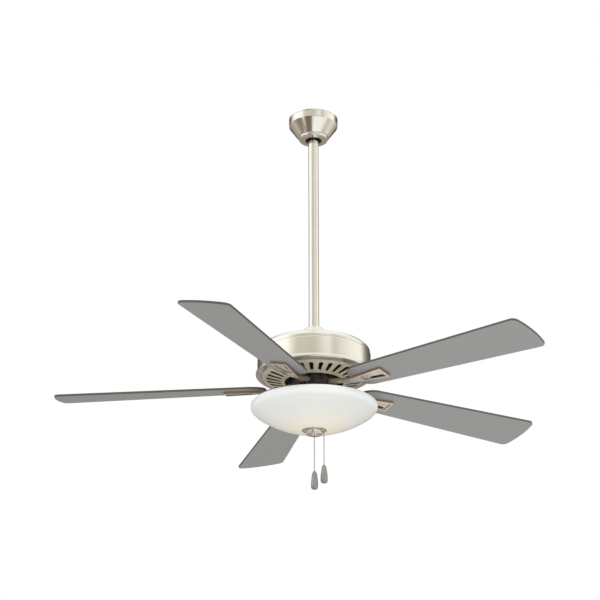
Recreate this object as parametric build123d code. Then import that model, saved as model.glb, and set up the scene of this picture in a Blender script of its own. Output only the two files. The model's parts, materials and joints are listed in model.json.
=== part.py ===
"""Five-blade ceiling fan on a long downrod, with a bowl light and two pull chains.

Units are millimetres. +Z is up, and the origin is the centre of the ceiling face of the
hanger bracket, so the whole fan hangs below z = 0. The swing of the hanger ball is about X.
"""

from build123d import *
import math
import os

# ---------------------------------------------------------------- driving dimensions
BLADE_COUNT = 5
FAN_RADIUS = 660.4            # 52 inch sweep
FIRST_BLADE_ANGLE = 175.3     # rest angle of blade 1, degrees about +Z
BLADE_PITCH = 11.5            # the counter-clockwise edge is the lower one
BLADE_DROOP = 1.1             # blades sag this many degrees outwards
BLADE_Z = -766.0              # height of the blades at their roots
BLADE_AXIS_Z = BLADE_Z + 2.9  # where the drooping blade line meets the fan's axis
BLADE_THICK = 6.0
BLADE_ROOT_R = 122.0          # nearest point of the bowed root end
BLADE_ROOT_BOW = 42.0
BLADE_ROOT_HALF = 47.0
BLADE_TIP_HALF = 67.0
BLADE_TIP_BULGE = 9.0

SHEET = 1.2                   # spun and pressed steel covers
FIT = 0.1                     # radial clearance of a sliding fit
SCREW_R = 2.4                 # number 10 screws

# ceiling end
CANOPY_R = 63.6
CANOPY_RING_R = 37.5          # stepped ring at the foot of the canopy
CANOPY_STEP = -54.0
CANOPY_BOTTOM = -61.8
CANOPY_HOLE_R = 22.0
BRACKET_LENGTH = 112.0
BRACKET_WIDTH = 44.0
BRACKET_SHEET = 2.5
BOX_SCREW_SPACING = 88.9      # 3.5 inch ceiling outlet box
BOX_SLOT_LENGTH = 16.0
BOX_SLOT_R = 2.8
BALL_R = 24.0
BALL_Z = -37.0                # centre of the hanger ball, the point the fan swings about
BALL_SEAT_GAP = 0.2
SEAT_TOP = -44.0
SEAT_BOTTOM = -51.5
SEAT_R = 31.0
KEY_WIDTH = 5.0               # tab that keeps the ball from turning about Z
CANOPY_SCREW_Z = -11.0

# downrod and yoke
ROD_R = 13.35                 # 3/4 inch pipe
ROD_BORE_R = 10.5
ROD_TOP = -19.0
ROD_LENGTH = 609.6            # 24 inch rod
ROD_BOTTOM = ROD_TOP - ROD_LENGTH
BALL_PIN_Z = -28.0
PIN_R = 2.5
YOKE_TOP = -606.0
YOKE_FLOOR = -634.0
YOKE_R = 19.0
YOKE_PIN_Z = -617.0
FLANGE_R = 44.0
FLANGE_TOP = -651.2
FLANGE_THICK = 5.0
FLANGE_SCREW_R = 32.0         # pitch radius of the four dome screws
YOKE_BOTTOM = -666.0
SHAFT_R = 9.0
SHAFT_BORE_R = 5.5
SHAFT_TOP = -640.0
SHAFT_BOTTOM = -784.0

# motor housing, heights measured up from BLADE_Z
HOUSING_R = 143.0
LIP_R = 147.0
VENT_OUTER_R = 134.0
VENT_INNER_R = 72.0
VENT_OUTER_H = 29.6
VENT_INNER_H = 17.5
VENT_COUNT = 30
VENT_PHASE = 2.0
VENT_SLOT_IN = 84.0
VENT_SLOT_OUT = 122.0

# motor
ROTOR_R = 96.0
ROTOR_WALL = 2.0
ROTOR_TOP = -676.0
ROTOR_SPLIT = -703.0
ROTOR_BOTTOM = -730.0
STATOR_R = 78.0
STATOR_TOP = -694.0
STATOR_BOTTOM = -712.0
STATOR_SLOTS = 16
BEARING_R = 18.0
BEARING_WIDTH = 9.0
BEARING_PITCH_R = 13.5
BEARING_BALL_R = 2.2
BEARING_BALLS = 8
BEARING_TOPS = (-680.0, -728.5)

# blade hub and arms
HUB_R = 60.0
HUB_WALL = 5.0
HUB_HOLE_R = 24.0
HUB_BOTTOM = -771.0
ARM_FACE_Z = -757.0           # underside of the hub floor, where the arms bolt on
ARM_THICK = 6.0
ARM_BASE_HALF = 14.0
ARM_BASE_IN = 37.0
ARM_FOOT_OUT = 63.0
ARM_WAIST_R = 92.0
ARM_NECK_R = 120.0
ARM_NECK_HALF = 10.5
ARM_END_R = 228.0
ARM_END_HALF = 21.5
ARM_PLATE_THICK = 7.0
ARM_RECESS_DEPTH = 3.0
ARM_BORDER = 4.5              # raised edge left round the recess
ARM_SLOT = {"x": 197.0, "y": 9.8, "length": 38.0, "width": 7.0, "depth": 4.9, "turn": 5.0}
BLADE_SCREW_SPOTS = ((150.0, 0.0), (180.0, -7.5), (217.0, -8.5))
HUB_SCREW_R = 48.0            # radius of the two screws that hold each arm
HUB_SCREW_ACROSS = 7.0        # how far each stands off the arm's centre line
HUB_BOLT_R = 45.0             # radius of the five bolts between hub and rotor

# switch housing and light kit
SWITCH_R = 52.0
SWITCH_TOP = -776.5
SWITCH_FLOOR = -809.2
PAN_R = 150.0
PAN_TOP = -809.2
NIPPLE_R = 5.0
NIPPLE_BORE_R = 3.0
NIPPLE_TOP = -812.2
CROSSBAR_TOP = -815.2
BOWL_R = 156.0
BOWL_TOP = -812.0
BOWL_LIP_BOTTOM = -819.0
BOWL_SHOULDER_R = 148.5
BOWL_SHOULDER_Z = -826.5
BOWL_BOTTOM = -875.0
BOWL_WALL = 4.0
BOWL_HOLE_R = 27.0
FINIAL_R = 36.0
FINIAL_TOP = -874.6
FINIAL_BOTTOM = -892.6
LAMP_AXIS_Z = -834.0
LAMP_R = 17.0
HOLDER_IN = 31.0
LIGHT_KIT_SCREW_R = 36.0       # pitch radius of the four screws through pan and housing
WIRE_HOLE = (-14.0, 24.0)

# pull chains: x of the chain, where it leaves the finial, top of its fob
CHAIN_R = 1.6
CHAIN_TOP = -797.0
SPEED_CHAIN = {"x": 0.0, "exit": -894.6, "fob_top": -983.0}
LIGHT_CHAIN = {"x": 24.0, "exit": -884.0, "fob_top": -967.0}
FOB_LENGTH = 47.0
FOB_R = 8.8

KNOB_TRAVEL = 5.0             # reverse switch
KNOB_SIZE = (6.0, 7.0, 5.0)
KNOB_Z = -793.0


# ---------------------------------------------------------------- helpers
def turned(*points):
    """Solid of revolution about Z from a closed outline of (radius, height) points."""
    return revolve(Plane.XZ * make_face(Polyline(*points, close=True)), Axis.Z)


def spun(points, radii, wall=SHEET, side=Side.RIGHT):
    """Thin shell of revolution: an outer outline of (radius, height), with a wall on one side."""
    outline = FilletPolyline(*points, radius=radii)
    return revolve(Plane.XZ * make_face(offset(outline, wall, side=side)), Axis.Z)


def post(radius, bottom, top, x=0.0, y=0.0):
    """Upright cylinder between two heights."""
    return Pos(x, y, (bottom + top) / 2) * Cylinder(radius, top - bottom)


def rod_along_x(radius, x_from, x_to, y=0.0, z=0.0):
    """Cylinder lying along X."""
    length = x_to - x_from
    return Pos((x_from + x_to) / 2, y, z) * Rot(0, 90, 0) * Cylinder(radius, length)


def slab(x_from, x_to, y_from, y_to, z_from, z_to):
    """Box from its limits."""
    centre = ((x_from + x_to) / 2, (y_from + y_to) / 2, (z_from + z_to) / 2)
    return Pos(*centre) * Box(x_to - x_from, y_to - y_from, z_to - z_from)


def hexagon(flat_r, bottom, top, hole_r, x=0.0, y=0.0):
    """Hexagon nut with a round hole."""
    outline = RegularPolygon(flat_r, 6, major_radius=False) - Circle(hole_r)
    return Pos(x, y, bottom) * extrude(outline, top - bottom)


def pan_screw(shank_r, length, head_r=None, head_height=2.6):
    """Pan head screw: the head's underside is at z = 0, the shank points up, the head down."""
    head_r = head_r or shank_r * 1.9
    head = Pos(0, 0, -head_height / 2) * Cylinder(head_r, head_height)
    head = fillet(head.edges().sort_by(Axis.Z)[0], head_height * 0.6)
    slot_width, slot_depth = head_r * 0.22, head_height * 0.4
    for turn in (0, 90):
        cut = Box(head_r * 1.1, slot_width, slot_depth)
        head -= Pos(0, 0, -head_height + slot_depth / 2) * Rot(0, 0, turn) * cut
    return head + post(shank_r, 0, length)


def around(count, phase=0.0):
    """Angles of equal steps round the axis."""
    return [phase + 360.0 * k / count for k in range(count)]


def polar(radius, angle):
    """x and y of a point at a radius and an angle in degrees."""
    return radius * math.cos(math.radians(angle)), radius * math.sin(math.radians(angle))


def blade_frame(angle):
    """Pitched and drooping frame of a blade: x outwards, y across, z = 0 at mid-thickness."""
    level = Rot(0, 0, angle) * Pos(0, 0, BLADE_AXIS_Z)
    return level * Rot(0, BLADE_DROOP, 0) * Rot(-BLADE_PITCH, 0, 0)


# ---------------------------------------------------------------- ceiling end
def hanger_bracket():
    """Folded steel bracket: slotted top plate, two legs and the seat ring of the ball."""
    half, thick = BRACKET_LENGTH / 2, BRACKET_SHEET
    plate = slab(-half, half, -BRACKET_WIDTH / 2, BRACKET_WIDTH / 2, -thick, 0)
    plate = fillet(plate.edges().filter_by(Axis.Z), 6)
    plate -= post(14, -thick, 0)
    for side in (-1, 1):
        slot = SlotOverall(BOX_SLOT_LENGTH, 2 * BOX_SLOT_R)
        plate -= Pos(side * BOX_SCREW_SPACING / 2, 0, -thick) * extrude(slot, thick)
    knee, leg_half = -24.0, 15.0
    outer = [(half, -thick), (half, knee), (SEAT_R - 1, SEAT_BOTTOM + 2.5)]
    inner = [(SEAT_R - 1, SEAT_BOTTOM + 6), (half - thick, knee + 1.2), (half - thick, -thick)]
    leg = extrude(Plane.XZ * make_face(Polyline(*outer, *inner, close=True)), leg_half, both=True)
    bracket = plate
    for side in (0, 180):
        bracket += Rot(0, 0, side) * leg
    for side in (-1, 1):
        bracket -= rod_along_x(1.9, side * half - 6, side * half + 6, z=CANOPY_SCREW_Z)
    ring = post(SEAT_R, SEAT_BOTTOM, SEAT_TOP)
    bracket += ring
    bracket -= Pos(0, 0, BALL_Z) * Sphere(BALL_R + BALL_SEAT_GAP)
    mouth = ROD_R + 1.0
    bracket -= slab(-mouth, mouth, -SEAT_R - 2, 0, SEAT_BOTTOM - 1, SEAT_TOP + 1)
    key_half = KEY_WIDTH / 2
    bracket += slab(-key_half, key_half, 20.8, 26, SEAT_BOTTOM + 1, SEAT_TOP - 1.5)
    return bracket


def ceiling_canopy():
    """Spun cover with a straight band, a tapering skirt and a stepped ring round the rod."""
    outline = [(CANOPY_R, 0), (CANOPY_R, -21), (CANOPY_RING_R + 3, CANOPY_STEP),
               (CANOPY_RING_R, CANOPY_STEP), (CANOPY_RING_R, CANOPY_BOTTOM),
               (CANOPY_HOLE_R, CANOPY_BOTTOM)]
    shell = spun(outline, [2.2, 1.3, 1.3, 3])
    for side in (-1, 1):
        end = side * CANOPY_R
        shell -= rod_along_x(SCREW_R + 0.2, end - 6, end + 6, z=CANOPY_SCREW_Z)
    return shell


def canopy_screws():
    """Two screws through the canopy's band into the bracket's legs."""
    screw = pan_screw(1.85, 13.0, head_r=4.0, head_height=2.2)
    left = Pos(-CANOPY_R, 0, CANOPY_SCREW_Z) * Rot(0, 90, 0) * screw
    return [left, Rot(0, 0, 180) * left]


def hanger_ball():
    """Ball with a bore for the rod, a groove for the key and a seat for the cross pin."""
    ball = Pos(0, 0, BALL_Z) * Sphere(BALL_R)
    ball &= post(BALL_R + 1, BALL_Z - 20, BALL_Z + 12)
    ball -= post(ROD_R + FIT, BALL_Z - 30, BALL_Z + 30)
    groove_half = KEY_WIDTH / 2 + 0.6
    groove = slab(-groove_half, groove_half, 12, BALL_R + 2, BALL_Z - 30, BALL_Z + 30)
    ball -= groove - Pos(0, 0, BALL_Z) * Sphere(BALL_R - 4)
    ball -= rod_along_x(PIN_R + FIT, -BALL_R, BALL_R, z=BALL_PIN_Z)
    ball -= Rot(0, 0, -90) * rod_along_x(SCREW_R, ROD_R - 2, BALL_R + 2, z=BALL_Z + 1)
    return ball


def cross_pins():
    """The pin that hangs the rod in the ball, and the headed pin that hangs the motor."""
    ball_pin = rod_along_x(PIN_R, -19, 19, z=BALL_PIN_Z)
    shank = rod_along_x(PIN_R, -23, 24.3, z=YOKE_PIN_Z)
    head = rod_along_x(PIN_R + 2, -25, -23, z=YOKE_PIN_Z)
    tip_hole = post(0.9, YOKE_PIN_Z - 5, YOKE_PIN_Z + 5, x=22.5)
    return [ball_pin, shank + head - tip_hole]


def cotter_pin():
    """Wire clip through the end of the yoke pin, with one leg wrapped outside."""
    wire = 0.7
    path = FilletPolyline((22.5, 0, YOKE_PIN_Z - 5), (22.5, 0, YOKE_PIN_Z + 4),
                          (25.2, 0, YOKE_PIN_Z + 4), (25.2, 0, YOKE_PIN_Z - 4), radius=1.2)
    section = Plane(path @ 0, z_dir=path % 0) * Circle(wire)
    return sweep(section, path)


def set_screws():
    """Grub screws: one locks the ball to the rod, two lock the rod in the yoke."""
    def grub(length):
        body = Cylinder(SCREW_R - 0.05, length)
        return body - Pos(0, 0, length / 2) * extrude(RegularPolygon(1.2, 6), -2, both=True)

    ball_length = BALL_R - 1.5 - ROD_R
    ball_mid = (ROD_R + BALL_R - 1.5) / 2 + 0.05
    screws = [Pos(0, -ball_mid, BALL_Z + 1) * Rot(90, 0, 0) * grub(ball_length)]
    yoke_length = YOKE_R + 2 - ROD_R
    yoke_mid = (ROD_R + YOKE_R + 2) / 2 + 0.05
    for angle in (55, 125):
        x, y = polar(yoke_mid, -angle)
        turn = Rot(0, 0, -angle) * Rot(0, 90, 0)
        screws.append(Pos(x, y, YOKE_PIN_Z - 9) * turn * grub(yoke_length))
    return screws


# ---------------------------------------------------------------- rod, yoke and housing
def downrod():
    """Steel pipe with cross holes for the two pins."""
    rod = post(ROD_R, ROD_BOTTOM, ROD_TOP) - post(ROD_BORE_R, ROD_BOTTOM, ROD_TOP)
    for height in (BALL_PIN_Z, YOKE_PIN_Z):
        rod -= rod_along_x(PIN_R + FIT, -20, 20, z=height)
    return rod


def coupling_cover():
    """Bell-shaped cover that slides down the rod to hide the yoke."""
    outline = [(ROD_R + 0.7, -601), (19, -603.5), (28, -612), (36, -634), (39.5, -649.5)]
    return spun(outline, [4, 14, 30], wall=1.0)


def motor_yoke():
    """Cast collar: socket for the rod above, seat of the motor shaft below, with a flange."""
    flange_bottom = FLANGE_TOP - FLANGE_THICK
    yoke = turned((0, YOKE_BOTTOM), (16, YOKE_BOTTOM), (17, flange_bottom),
                  (FLANGE_R, flange_bottom), (FLANGE_R, FLANGE_TOP), (YOKE_R + 3, FLANGE_TOP),
                  (YOKE_R, FLANGE_TOP + 6), (YOKE_R, YOKE_TOP), (0, YOKE_TOP))
    yoke -= post(ROD_R + FIT, YOKE_FLOOR, YOKE_TOP)
    yoke -= post(SHAFT_R, YOKE_BOTTOM, SHAFT_TOP)
    yoke -= post(SHAFT_BORE_R, SHAFT_TOP, YOKE_FLOOR)
    yoke -= rod_along_x(PIN_R + FIT, -24, 24, z=YOKE_PIN_Z)
    for angle in (55, 125):
        hole = rod_along_x(SCREW_R, ROD_R - 2, YOKE_R + 2, z=YOKE_PIN_Z - 9)
        yoke -= Rot(0, 0, -angle) * hole
    for angle in around(4, 45):
        yoke -= post(SCREW_R, flange_bottom, FLANGE_TOP, *polar(FLANGE_SCREW_R, angle))
    return yoke


def housing_dome():
    """Shallow domed top of the motor housing, clamped on the yoke's flange."""
    top = FLANGE_TOP + SHEET
    outline = [(YOKE_R + 4, top), (96, top), (127, BLADE_Z + 111), (141.3, BLADE_Z + 98),
               (141.3, BLADE_Z + 90.2)]
    dome = spun(outline, [60, 22, 5])
    for angle in around(4, 45):
        dome -= post(SCREW_R + 0.3, FLANGE_TOP - 1, top + 1, *polar(FLANGE_SCREW_R, angle))
    return dome


def housing_band():
    """Brushed side band with an inward ledge on top and a rolled lip at its foot."""
    outline = [(133, BLADE_Z + 89), (HOUSING_R, BLADE_Z + 89), (HOUSING_R, BLADE_Z + 42),
               (LIP_R, BLADE_Z + 38), (LIP_R, BLADE_Z + 34.5), (134.4, BLADE_Z + 30.4)]
    return spun(outline, [2, 4, 1.7, 1.7])


def vent_ring():
    """Cast conical ring under the motor, with tapering air slots and a rounded inner lip."""
    slope = (VENT_OUTER_H - VENT_INNER_H) / (VENT_OUTER_R - VENT_INNER_R)
    thick = 2.2
    low = BLADE_Z + VENT_INNER_H
    high = BLADE_Z + VENT_OUTER_H
    ring = turned((VENT_INNER_R, low), (VENT_INNER_R + 3, low - 1.2), (VENT_OUTER_R, high),
                  (VENT_OUTER_R, high + 5), (VENT_OUTER_R - 2, high + 5),
                  (VENT_OUTER_R - 2, high + thick), (VENT_INNER_R + 2.5, low + thick),
                  (VENT_INNER_R + 2.5, low + 5), (VENT_INNER_R, low + 5))
    outer_half, inner_half = 5.6, 3.4
    taper = Polyline((VENT_SLOT_IN, -inner_half), (VENT_SLOT_OUT - outer_half, -outer_half),
                     (VENT_SLOT_OUT - outer_half, outer_half), (VENT_SLOT_IN, inner_half),
                     close=True)
    slot = make_face(taper) + Pos(VENT_SLOT_OUT - outer_half, 0) * Circle(outer_half)
    cutter = Pos(0, 0, low - 5) * extrude(slot, 30)
    rib_mid = (VENT_SLOT_IN + VENT_SLOT_OUT) / 2
    rib = Box(VENT_SLOT_OUT - VENT_SLOT_IN, 2.4, 2.0)
    rib_z = low + slope * (rib_mid - VENT_INNER_R)
    tilt = math.degrees(math.atan(slope))
    for angle in around(VENT_COUNT, VENT_PHASE):
        ring -= Rot(0, 0, angle) * cutter
    for angle in around(VENT_COUNT, VENT_PHASE + 180 / VENT_COUNT):
        ring += Rot(0, 0, angle) * Pos(rib_mid, 0, rib_z) * Rot(0, -tilt, 0) * rib
    for angle in around(3, 30):
        lug_x, lug_y = polar(VENT_OUTER_R - 5, angle)
        ring += post(4.5, high + 1, high + 6, lug_x, lug_y)
        ring -= post(2.05, high + 1, high + 6, lug_x, lug_y)
    return ring


def housing_screws():
    """Dome to yoke screws, vent ring screws, and the screws that hold the light pan."""
    down = Rot(180, 0, 0)
    screws = []
    for angle in around(4, 45):
        x, y = polar(FLANGE_SCREW_R, angle)
        screws.append(Pos(x, y, FLANGE_TOP + SHEET) * down * pan_screw(SCREW_R - 0.05, 6))
    for angle in around(3, 30):
        x, y = polar(VENT_OUTER_R - 5, angle)
        top = BLADE_Z + VENT_OUTER_H + 6
        screws.append(Pos(x, y, top) * down * pan_screw(2.0, 4.9))
    for angle in around(4, 45):
        x, y = polar(LIGHT_KIT_SCREW_R, angle)
        screws.append(Pos(x, y, PAN_TOP - SHEET) * pan_screw(1.95, 6))
    return screws


# ---------------------------------------------------------------- motor
def motor_shaft():
    """Hollow fixed shaft that carries the stator and the switch plate."""
    shaft = post(SHAFT_R - 0.02, SHAFT_BOTTOM, SHAFT_TOP) - post(SHAFT_BORE_R, SHAFT_BOTTOM, SHAFT_TOP)
    window = rod_along_x(3.0, 0, SHAFT_R + 1, z=-668.5)
    return shaft - window


def stator_core():
    """Laminated stack with open slots."""
    core = post(STATOR_R, STATOR_BOTTOM, STATOR_TOP) - post(SHAFT_R, STATOR_BOTTOM, STATOR_TOP)
    height = STATOR_TOP - STATOR_BOTTOM + 2
    middle = (STATOR_TOP + STATOR_BOTTOM) / 2
    for angle in around(STATOR_SLOTS):
        well = Pos(58, 0, middle) * Box(26, 11, height)
        mouth = Pos(STATOR_R - 3, 0, middle) * Box(12, 3, height)
        core -= Rot(0, 0, angle) * (well + mouth)
    return core


def stator_windings():
    """Copper: a bar in every slot and a bundled ring over each end of the stack."""
    rings = []
    for low, high in ((STATOR_TOP + 0.3, STATOR_TOP + 6.5), (STATOR_BOTTOM - 6.5, STATOR_BOTTOM - 0.3)):
        ring = post(70, low, high) - post(46, low, high)
        rings.append(fillet(ring.edges(), 2.5))
    winding = rings[0] + rings[1]
    for angle in around(STATOR_SLOTS):
        bar = slab(46.5, 69.5, -4.6, 4.6, STATOR_BOTTOM - 3, STATOR_TOP + 3)
        winding += Rot(0, 0, angle) * bar
    return winding


def bearing_track(top):
    """Space swept by the balls of one bearing."""
    return Pos(0, 0, top - BEARING_WIDTH / 2) * Torus(BEARING_PITCH_R, BEARING_BALL_R + 0.05)


def bearing_inner_races():
    """Inner races, fixed on the shaft."""
    races = []
    for top in BEARING_TOPS:
        race = post(11.6, top - BEARING_WIDTH, top) - post(SHAFT_R, top - BEARING_WIDTH, top)
        races.append(race - bearing_track(top))
    return races


def bearing_outer_races():
    """Outer races, carried by the bells of the rotor."""
    races = []
    for top in BEARING_TOPS:
        race = post(BEARING_R, top - BEARING_WIDTH, top) - post(15.4, top - BEARING_WIDTH, top)
        races.append(race - bearing_track(top))
    return races


def bearing_balls():
    """Balls of both bearings."""
    balls = []
    for top in BEARING_TOPS:
        for angle in around(BEARING_BALLS):
            x, y = polar(BEARING_PITCH_R, angle)
            balls.append(Pos(x, y, top - BEARING_WIDTH / 2) * Sphere(BEARING_BALL_R))
    return balls


def bell(split, end, seat_top):
    """Half shell of the rotor, from its split line to its closed end, with a bearing boss."""
    inward = 1 if end < split else -1
    wall_low, wall_high = min(split, end), max(split, end)
    shell = post(ROTOR_R, wall_low, wall_high) - post(ROTOR_R - ROTOR_WALL, wall_low, wall_high)
    face = end + 3 * inward
    shell += post(ROTOR_R - 1, min(end, face), max(end, face))
    boss_low, boss_high = seat_top - BEARING_WIDTH - 1.5, seat_top + 1.5
    shell += post(BEARING_R + 3, boss_low, boss_high)
    shell -= post(BEARING_R, seat_top - BEARING_WIDTH, seat_top)
    shell -= post(15.4, boss_low - 5, boss_high + 5)
    for angle in around(8, 22.5):
        x, y = polar(58, angle)
        shell -= post(8.0, min(end, face) - 1, max(end, face) + 1, x, y)
    return shell


def rotor_top_bell():
    """Upper half shell of the rotor."""
    return bell(ROTOR_SPLIT, ROTOR_TOP, BEARING_TOPS[0])


def rotor_bottom_bell():
    """Lower half shell of the rotor, with threaded holes for the hub bolts."""
    shell = bell(ROTOR_SPLIT, ROTOR_BOTTOM, BEARING_TOPS[1])
    for angle in around(BLADE_COUNT, FIRST_BLADE_ANGLE + 36):
        shell -= post(SCREW_R, ROTOR_BOTTOM - 1, ROTOR_BOTTOM + 4, *polar(HUB_BOLT_R, angle))
    return shell


def rotor_ring():
    """Laminated cage ring that runs round the stator."""
    outer = ROTOR_R - ROTOR_WALL
    low, high = STATOR_BOTTOM - 2, STATOR_TOP + 2
    return post(outer, low, high) - post(STATOR_R + 0.6, low, high)


# ---------------------------------------------------------------- blade hub, arms and blades
def blade_hub():
    """Cast hub under the rotor: a walled cup with a floor, and an open notch for each arm."""
    hub = post(HUB_R, HUB_BOTTOM, ROTOR_BOTTOM) - post(HUB_R - HUB_WALL, HUB_BOTTOM, ROTOR_BOTTOM)
    hub = chamfer(hub.edges().filter_by(GeomType.CIRCLE).sort_by(Axis.Z)[:2], 1.2)
    floor_top = ARM_FACE_Z + 6
    hub += post(HUB_R - 1, ARM_FACE_Z, floor_top)
    hub -= post(HUB_HOLE_R, ARM_FACE_Z, floor_top)
    for angle in around(BLADE_COUNT, FIRST_BLADE_ANGLE):
        notch_half = ARM_BASE_HALF + 0.3
        notch = slab(HUB_R - HUB_WALL - 4, HUB_R + 2, -notch_half, notch_half,
                     HUB_BOTTOM - 1, ARM_FACE_Z)
        hub -= Rot(0, 0, angle) * notch
        for across in (-HUB_SCREW_ACROSS, HUB_SCREW_ACROSS):
            hub -= Rot(0, 0, angle) * post(SCREW_R, ARM_FACE_Z, floor_top, HUB_SCREW_R, across)
    for angle in around(BLADE_COUNT, FIRST_BLADE_ANGLE + 36):
        x, y = polar(HUB_BOLT_R, angle)
        hub += post(6, ARM_FACE_Z, ROTOR_BOTTOM, x, y)
        hub -= post(SCREW_R + 0.1, ARM_FACE_Z, ROTOR_BOTTOM, x, y)
    return hub


def hub_screws():
    """Two screws into the hub for each arm, and the five bolts that hold hub to rotor."""
    screws = []
    for angle in around(BLADE_COUNT, FIRST_BLADE_ANGLE):
        for across in (-HUB_SCREW_ACROSS, HUB_SCREW_ACROSS):
            place = Rot(0, 0, angle) * Pos(HUB_SCREW_R, across, ARM_FACE_Z - ARM_THICK)
            screws.append(place * pan_screw(SCREW_R - 0.05, 11))
    for angle in around(BLADE_COUNT, FIRST_BLADE_ANGLE + 36):
        x, y = polar(HUB_BOLT_R, angle)
        screws.append(Pos(x, y, ARM_FACE_Z) * pan_screw(SCREW_R - 0.05, 29))
    return screws


def arm_half_width(radius):
    """Half width of the arm's blade plate at a radius."""
    share = (radius - ARM_NECK_R) / (ARM_END_R - ARM_NECK_R)
    return ARM_NECK_HALF + share * (ARM_END_HALF - ARM_NECK_HALF)


def arm_outline(start, end, inset):
    """Wedge outline of the blade plate between two radii, drawn in by an inset."""
    near, far = arm_half_width(start) - inset, arm_half_width(end) - inset
    return make_face(Polyline((start, -near), (end, -far), (end, far), (start, near), close=True))


def cross_section(reach, height, roll, width, thick):
    """Rectangle that stands across the arm at a radius, rolled about the arm's length."""
    upright = Rot(0, 0, 90) * Rot(90, 0, 0)
    return Pos(reach, 0, height) * Rot(roll, 0, 0) * upright * Rectangle(width, thick)


def arm_plate():
    """Blade plate of an arm in the blade's frame: a wedge with a bordered recess and a side slot."""
    top = -BLADE_THICK / 2
    floor = ARM_PLATE_THICK - ARM_RECESS_DEPTH
    plate = extrude(arm_outline(ARM_NECK_R, ARM_END_R, 0), -ARM_PLATE_THICK)
    plate = fillet(plate.edges().filter_by(Axis.Z).sort_by(Axis.X)[-2:], 2.5)
    recess_start, recess_end = ARM_NECK_R + 38, ARM_END_R - ARM_BORDER
    recess = extrude(arm_outline(recess_start, recess_end, ARM_BORDER), -ARM_RECESS_DEPTH)
    recess = fillet(recess.edges().filter_by(Axis.Z), 1.5)
    plate -= Pos(0, 0, -floor) * recess
    plate = chamfer(plate.faces().sort_by(Axis.Z)[0].outer_wire().edges(), 0.8)
    slot = extrude(SlotOverall(ARM_SLOT["length"], ARM_SLOT["width"]), ARM_SLOT["depth"])
    slot = Pos(ARM_SLOT["x"], ARM_SLOT["y"], -ARM_PLATE_THICK) * Rot(0, 0, ARM_SLOT["turn"]) * slot
    plate = Pos(0, 0, top) * (plate - slot)
    for x, y in BLADE_SCREW_SPOTS:
        plate -= post(2.2, top - floor + 1, top + 1, x, y)
    return plate


def blade_arm(angle):
    """Cast arm: a flat foot under the hub, a twisting neck, and a recessed plate under the blade."""
    level = Rot(0, 0, angle)
    foot = slab(ARM_BASE_IN, ARM_FOOT_OUT, -ARM_BASE_HALF, ARM_BASE_HALF,
                ARM_FACE_Z - ARM_THICK, ARM_FACE_Z)
    foot = fillet(foot.edges().filter_by(Axis.Z).sort_by(Axis.X)[:2], 5)
    for across in (-HUB_SCREW_ACROSS, HUB_SCREW_ACROSS):
        foot -= post(SCREW_R + 0.2, ARM_FACE_Z - ARM_THICK, ARM_FACE_Z, HUB_SCREW_R, across)
    foot_mid = ARM_FACE_Z - ARM_THICK / 2
    wide = level * cross_section(ARM_FOOT_OUT - 2, foot_mid, 0, 2 * ARM_BASE_HALF, ARM_THICK)
    waist_half, waist_drop = 9.5, 5.5
    waist = level * cross_section(ARM_WAIST_R, foot_mid - waist_drop, -BLADE_PITCH / 2,
                                  2 * waist_half, ARM_THICK + 0.6)
    neck_reach = ARM_NECK_R + 3
    plate_mid = -(BLADE_THICK + ARM_PLATE_THICK) / 2
    narrow = blade_frame(angle) * cross_section(neck_reach, plate_mid, 0,
                                                2 * arm_half_width(neck_reach), ARM_PLATE_THICK)
    neck = loft([wide, waist, narrow], ruled=True)
    return blade_frame(angle) * arm_plate() + level * foot + neck


def blade(angle):
    """Flat blade: bowed root and tip, wider at the tip, rounded corners, three screw holes."""
    root_corner = BLADE_ROOT_R + BLADE_ROOT_BOW
    tip_corner = FAN_RADIUS - BLADE_TIP_BULGE
    outline = [
        Line((root_corner, -BLADE_ROOT_HALF), (tip_corner, -BLADE_TIP_HALF)),
        ThreePointArc((tip_corner, -BLADE_TIP_HALF), (FAN_RADIUS, 0), (tip_corner, BLADE_TIP_HALF)),
        Line((tip_corner, BLADE_TIP_HALF), (root_corner, BLADE_ROOT_HALF)),
        ThreePointArc((root_corner, BLADE_ROOT_HALF), (BLADE_ROOT_R, 0), (root_corner, -BLADE_ROOT_HALF)),
    ]
    face = make_face(outline)
    face = fillet(face.vertices().sort_by(Axis.X)[-2:], 16)
    board = extrude(face, BLADE_THICK / 2, both=True)
    board = fillet(board.faces().filter_by(Axis.Z).edges(), 1.2)
    for x, y in BLADE_SCREW_SPOTS:
        board -= post(2.7, -BLADE_THICK, BLADE_THICK, x, y)
    return blade_frame(angle) * board


def blade_screws():
    """Three screws with fibre washers on the upper face of every blade."""
    parts = []
    top = BLADE_THICK / 2
    for angle in around(BLADE_COUNT, FIRST_BLADE_ANGLE):
        for x, y in BLADE_SCREW_SPOTS:
            washer = post(7, top, top + 1, x, y) - post(2.3, top, top + 1, x, y)
            screw = Pos(x, y, top + 1) * Rot(180, 0, 0) * pan_screw(2.15, BLADE_THICK + 2.8)
            parts += [blade_frame(angle) * washer, blade_frame(angle) * screw]
    return parts


# ---------------------------------------------------------------- switch housing and light kit
def switch_plate():
    """Disc fixed on the end of the shaft, with tabs that carry the switch housing."""
    plate = post(46, SWITCH_TOP, SWITCH_TOP + 2.5) - post(SHAFT_R, SWITCH_TOP, SWITCH_TOP + 2.5)
    for angle in around(3, 150):
        x, y = polar(32, angle)
        plate -= post(5, SWITCH_TOP, SWITCH_TOP + 2.5, x, y)
    for angle in (30, 150, 270):
        tab = slab(40, 49.9, -6, 6, SWITCH_TOP, SWITCH_TOP + 2.5)
        ear = slab(47.9, 49.9, -6, 6, SWITCH_TOP - 10, SWITCH_TOP)
        plate += Rot(0, 0, angle) * (tab + ear)
    return plate


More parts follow.
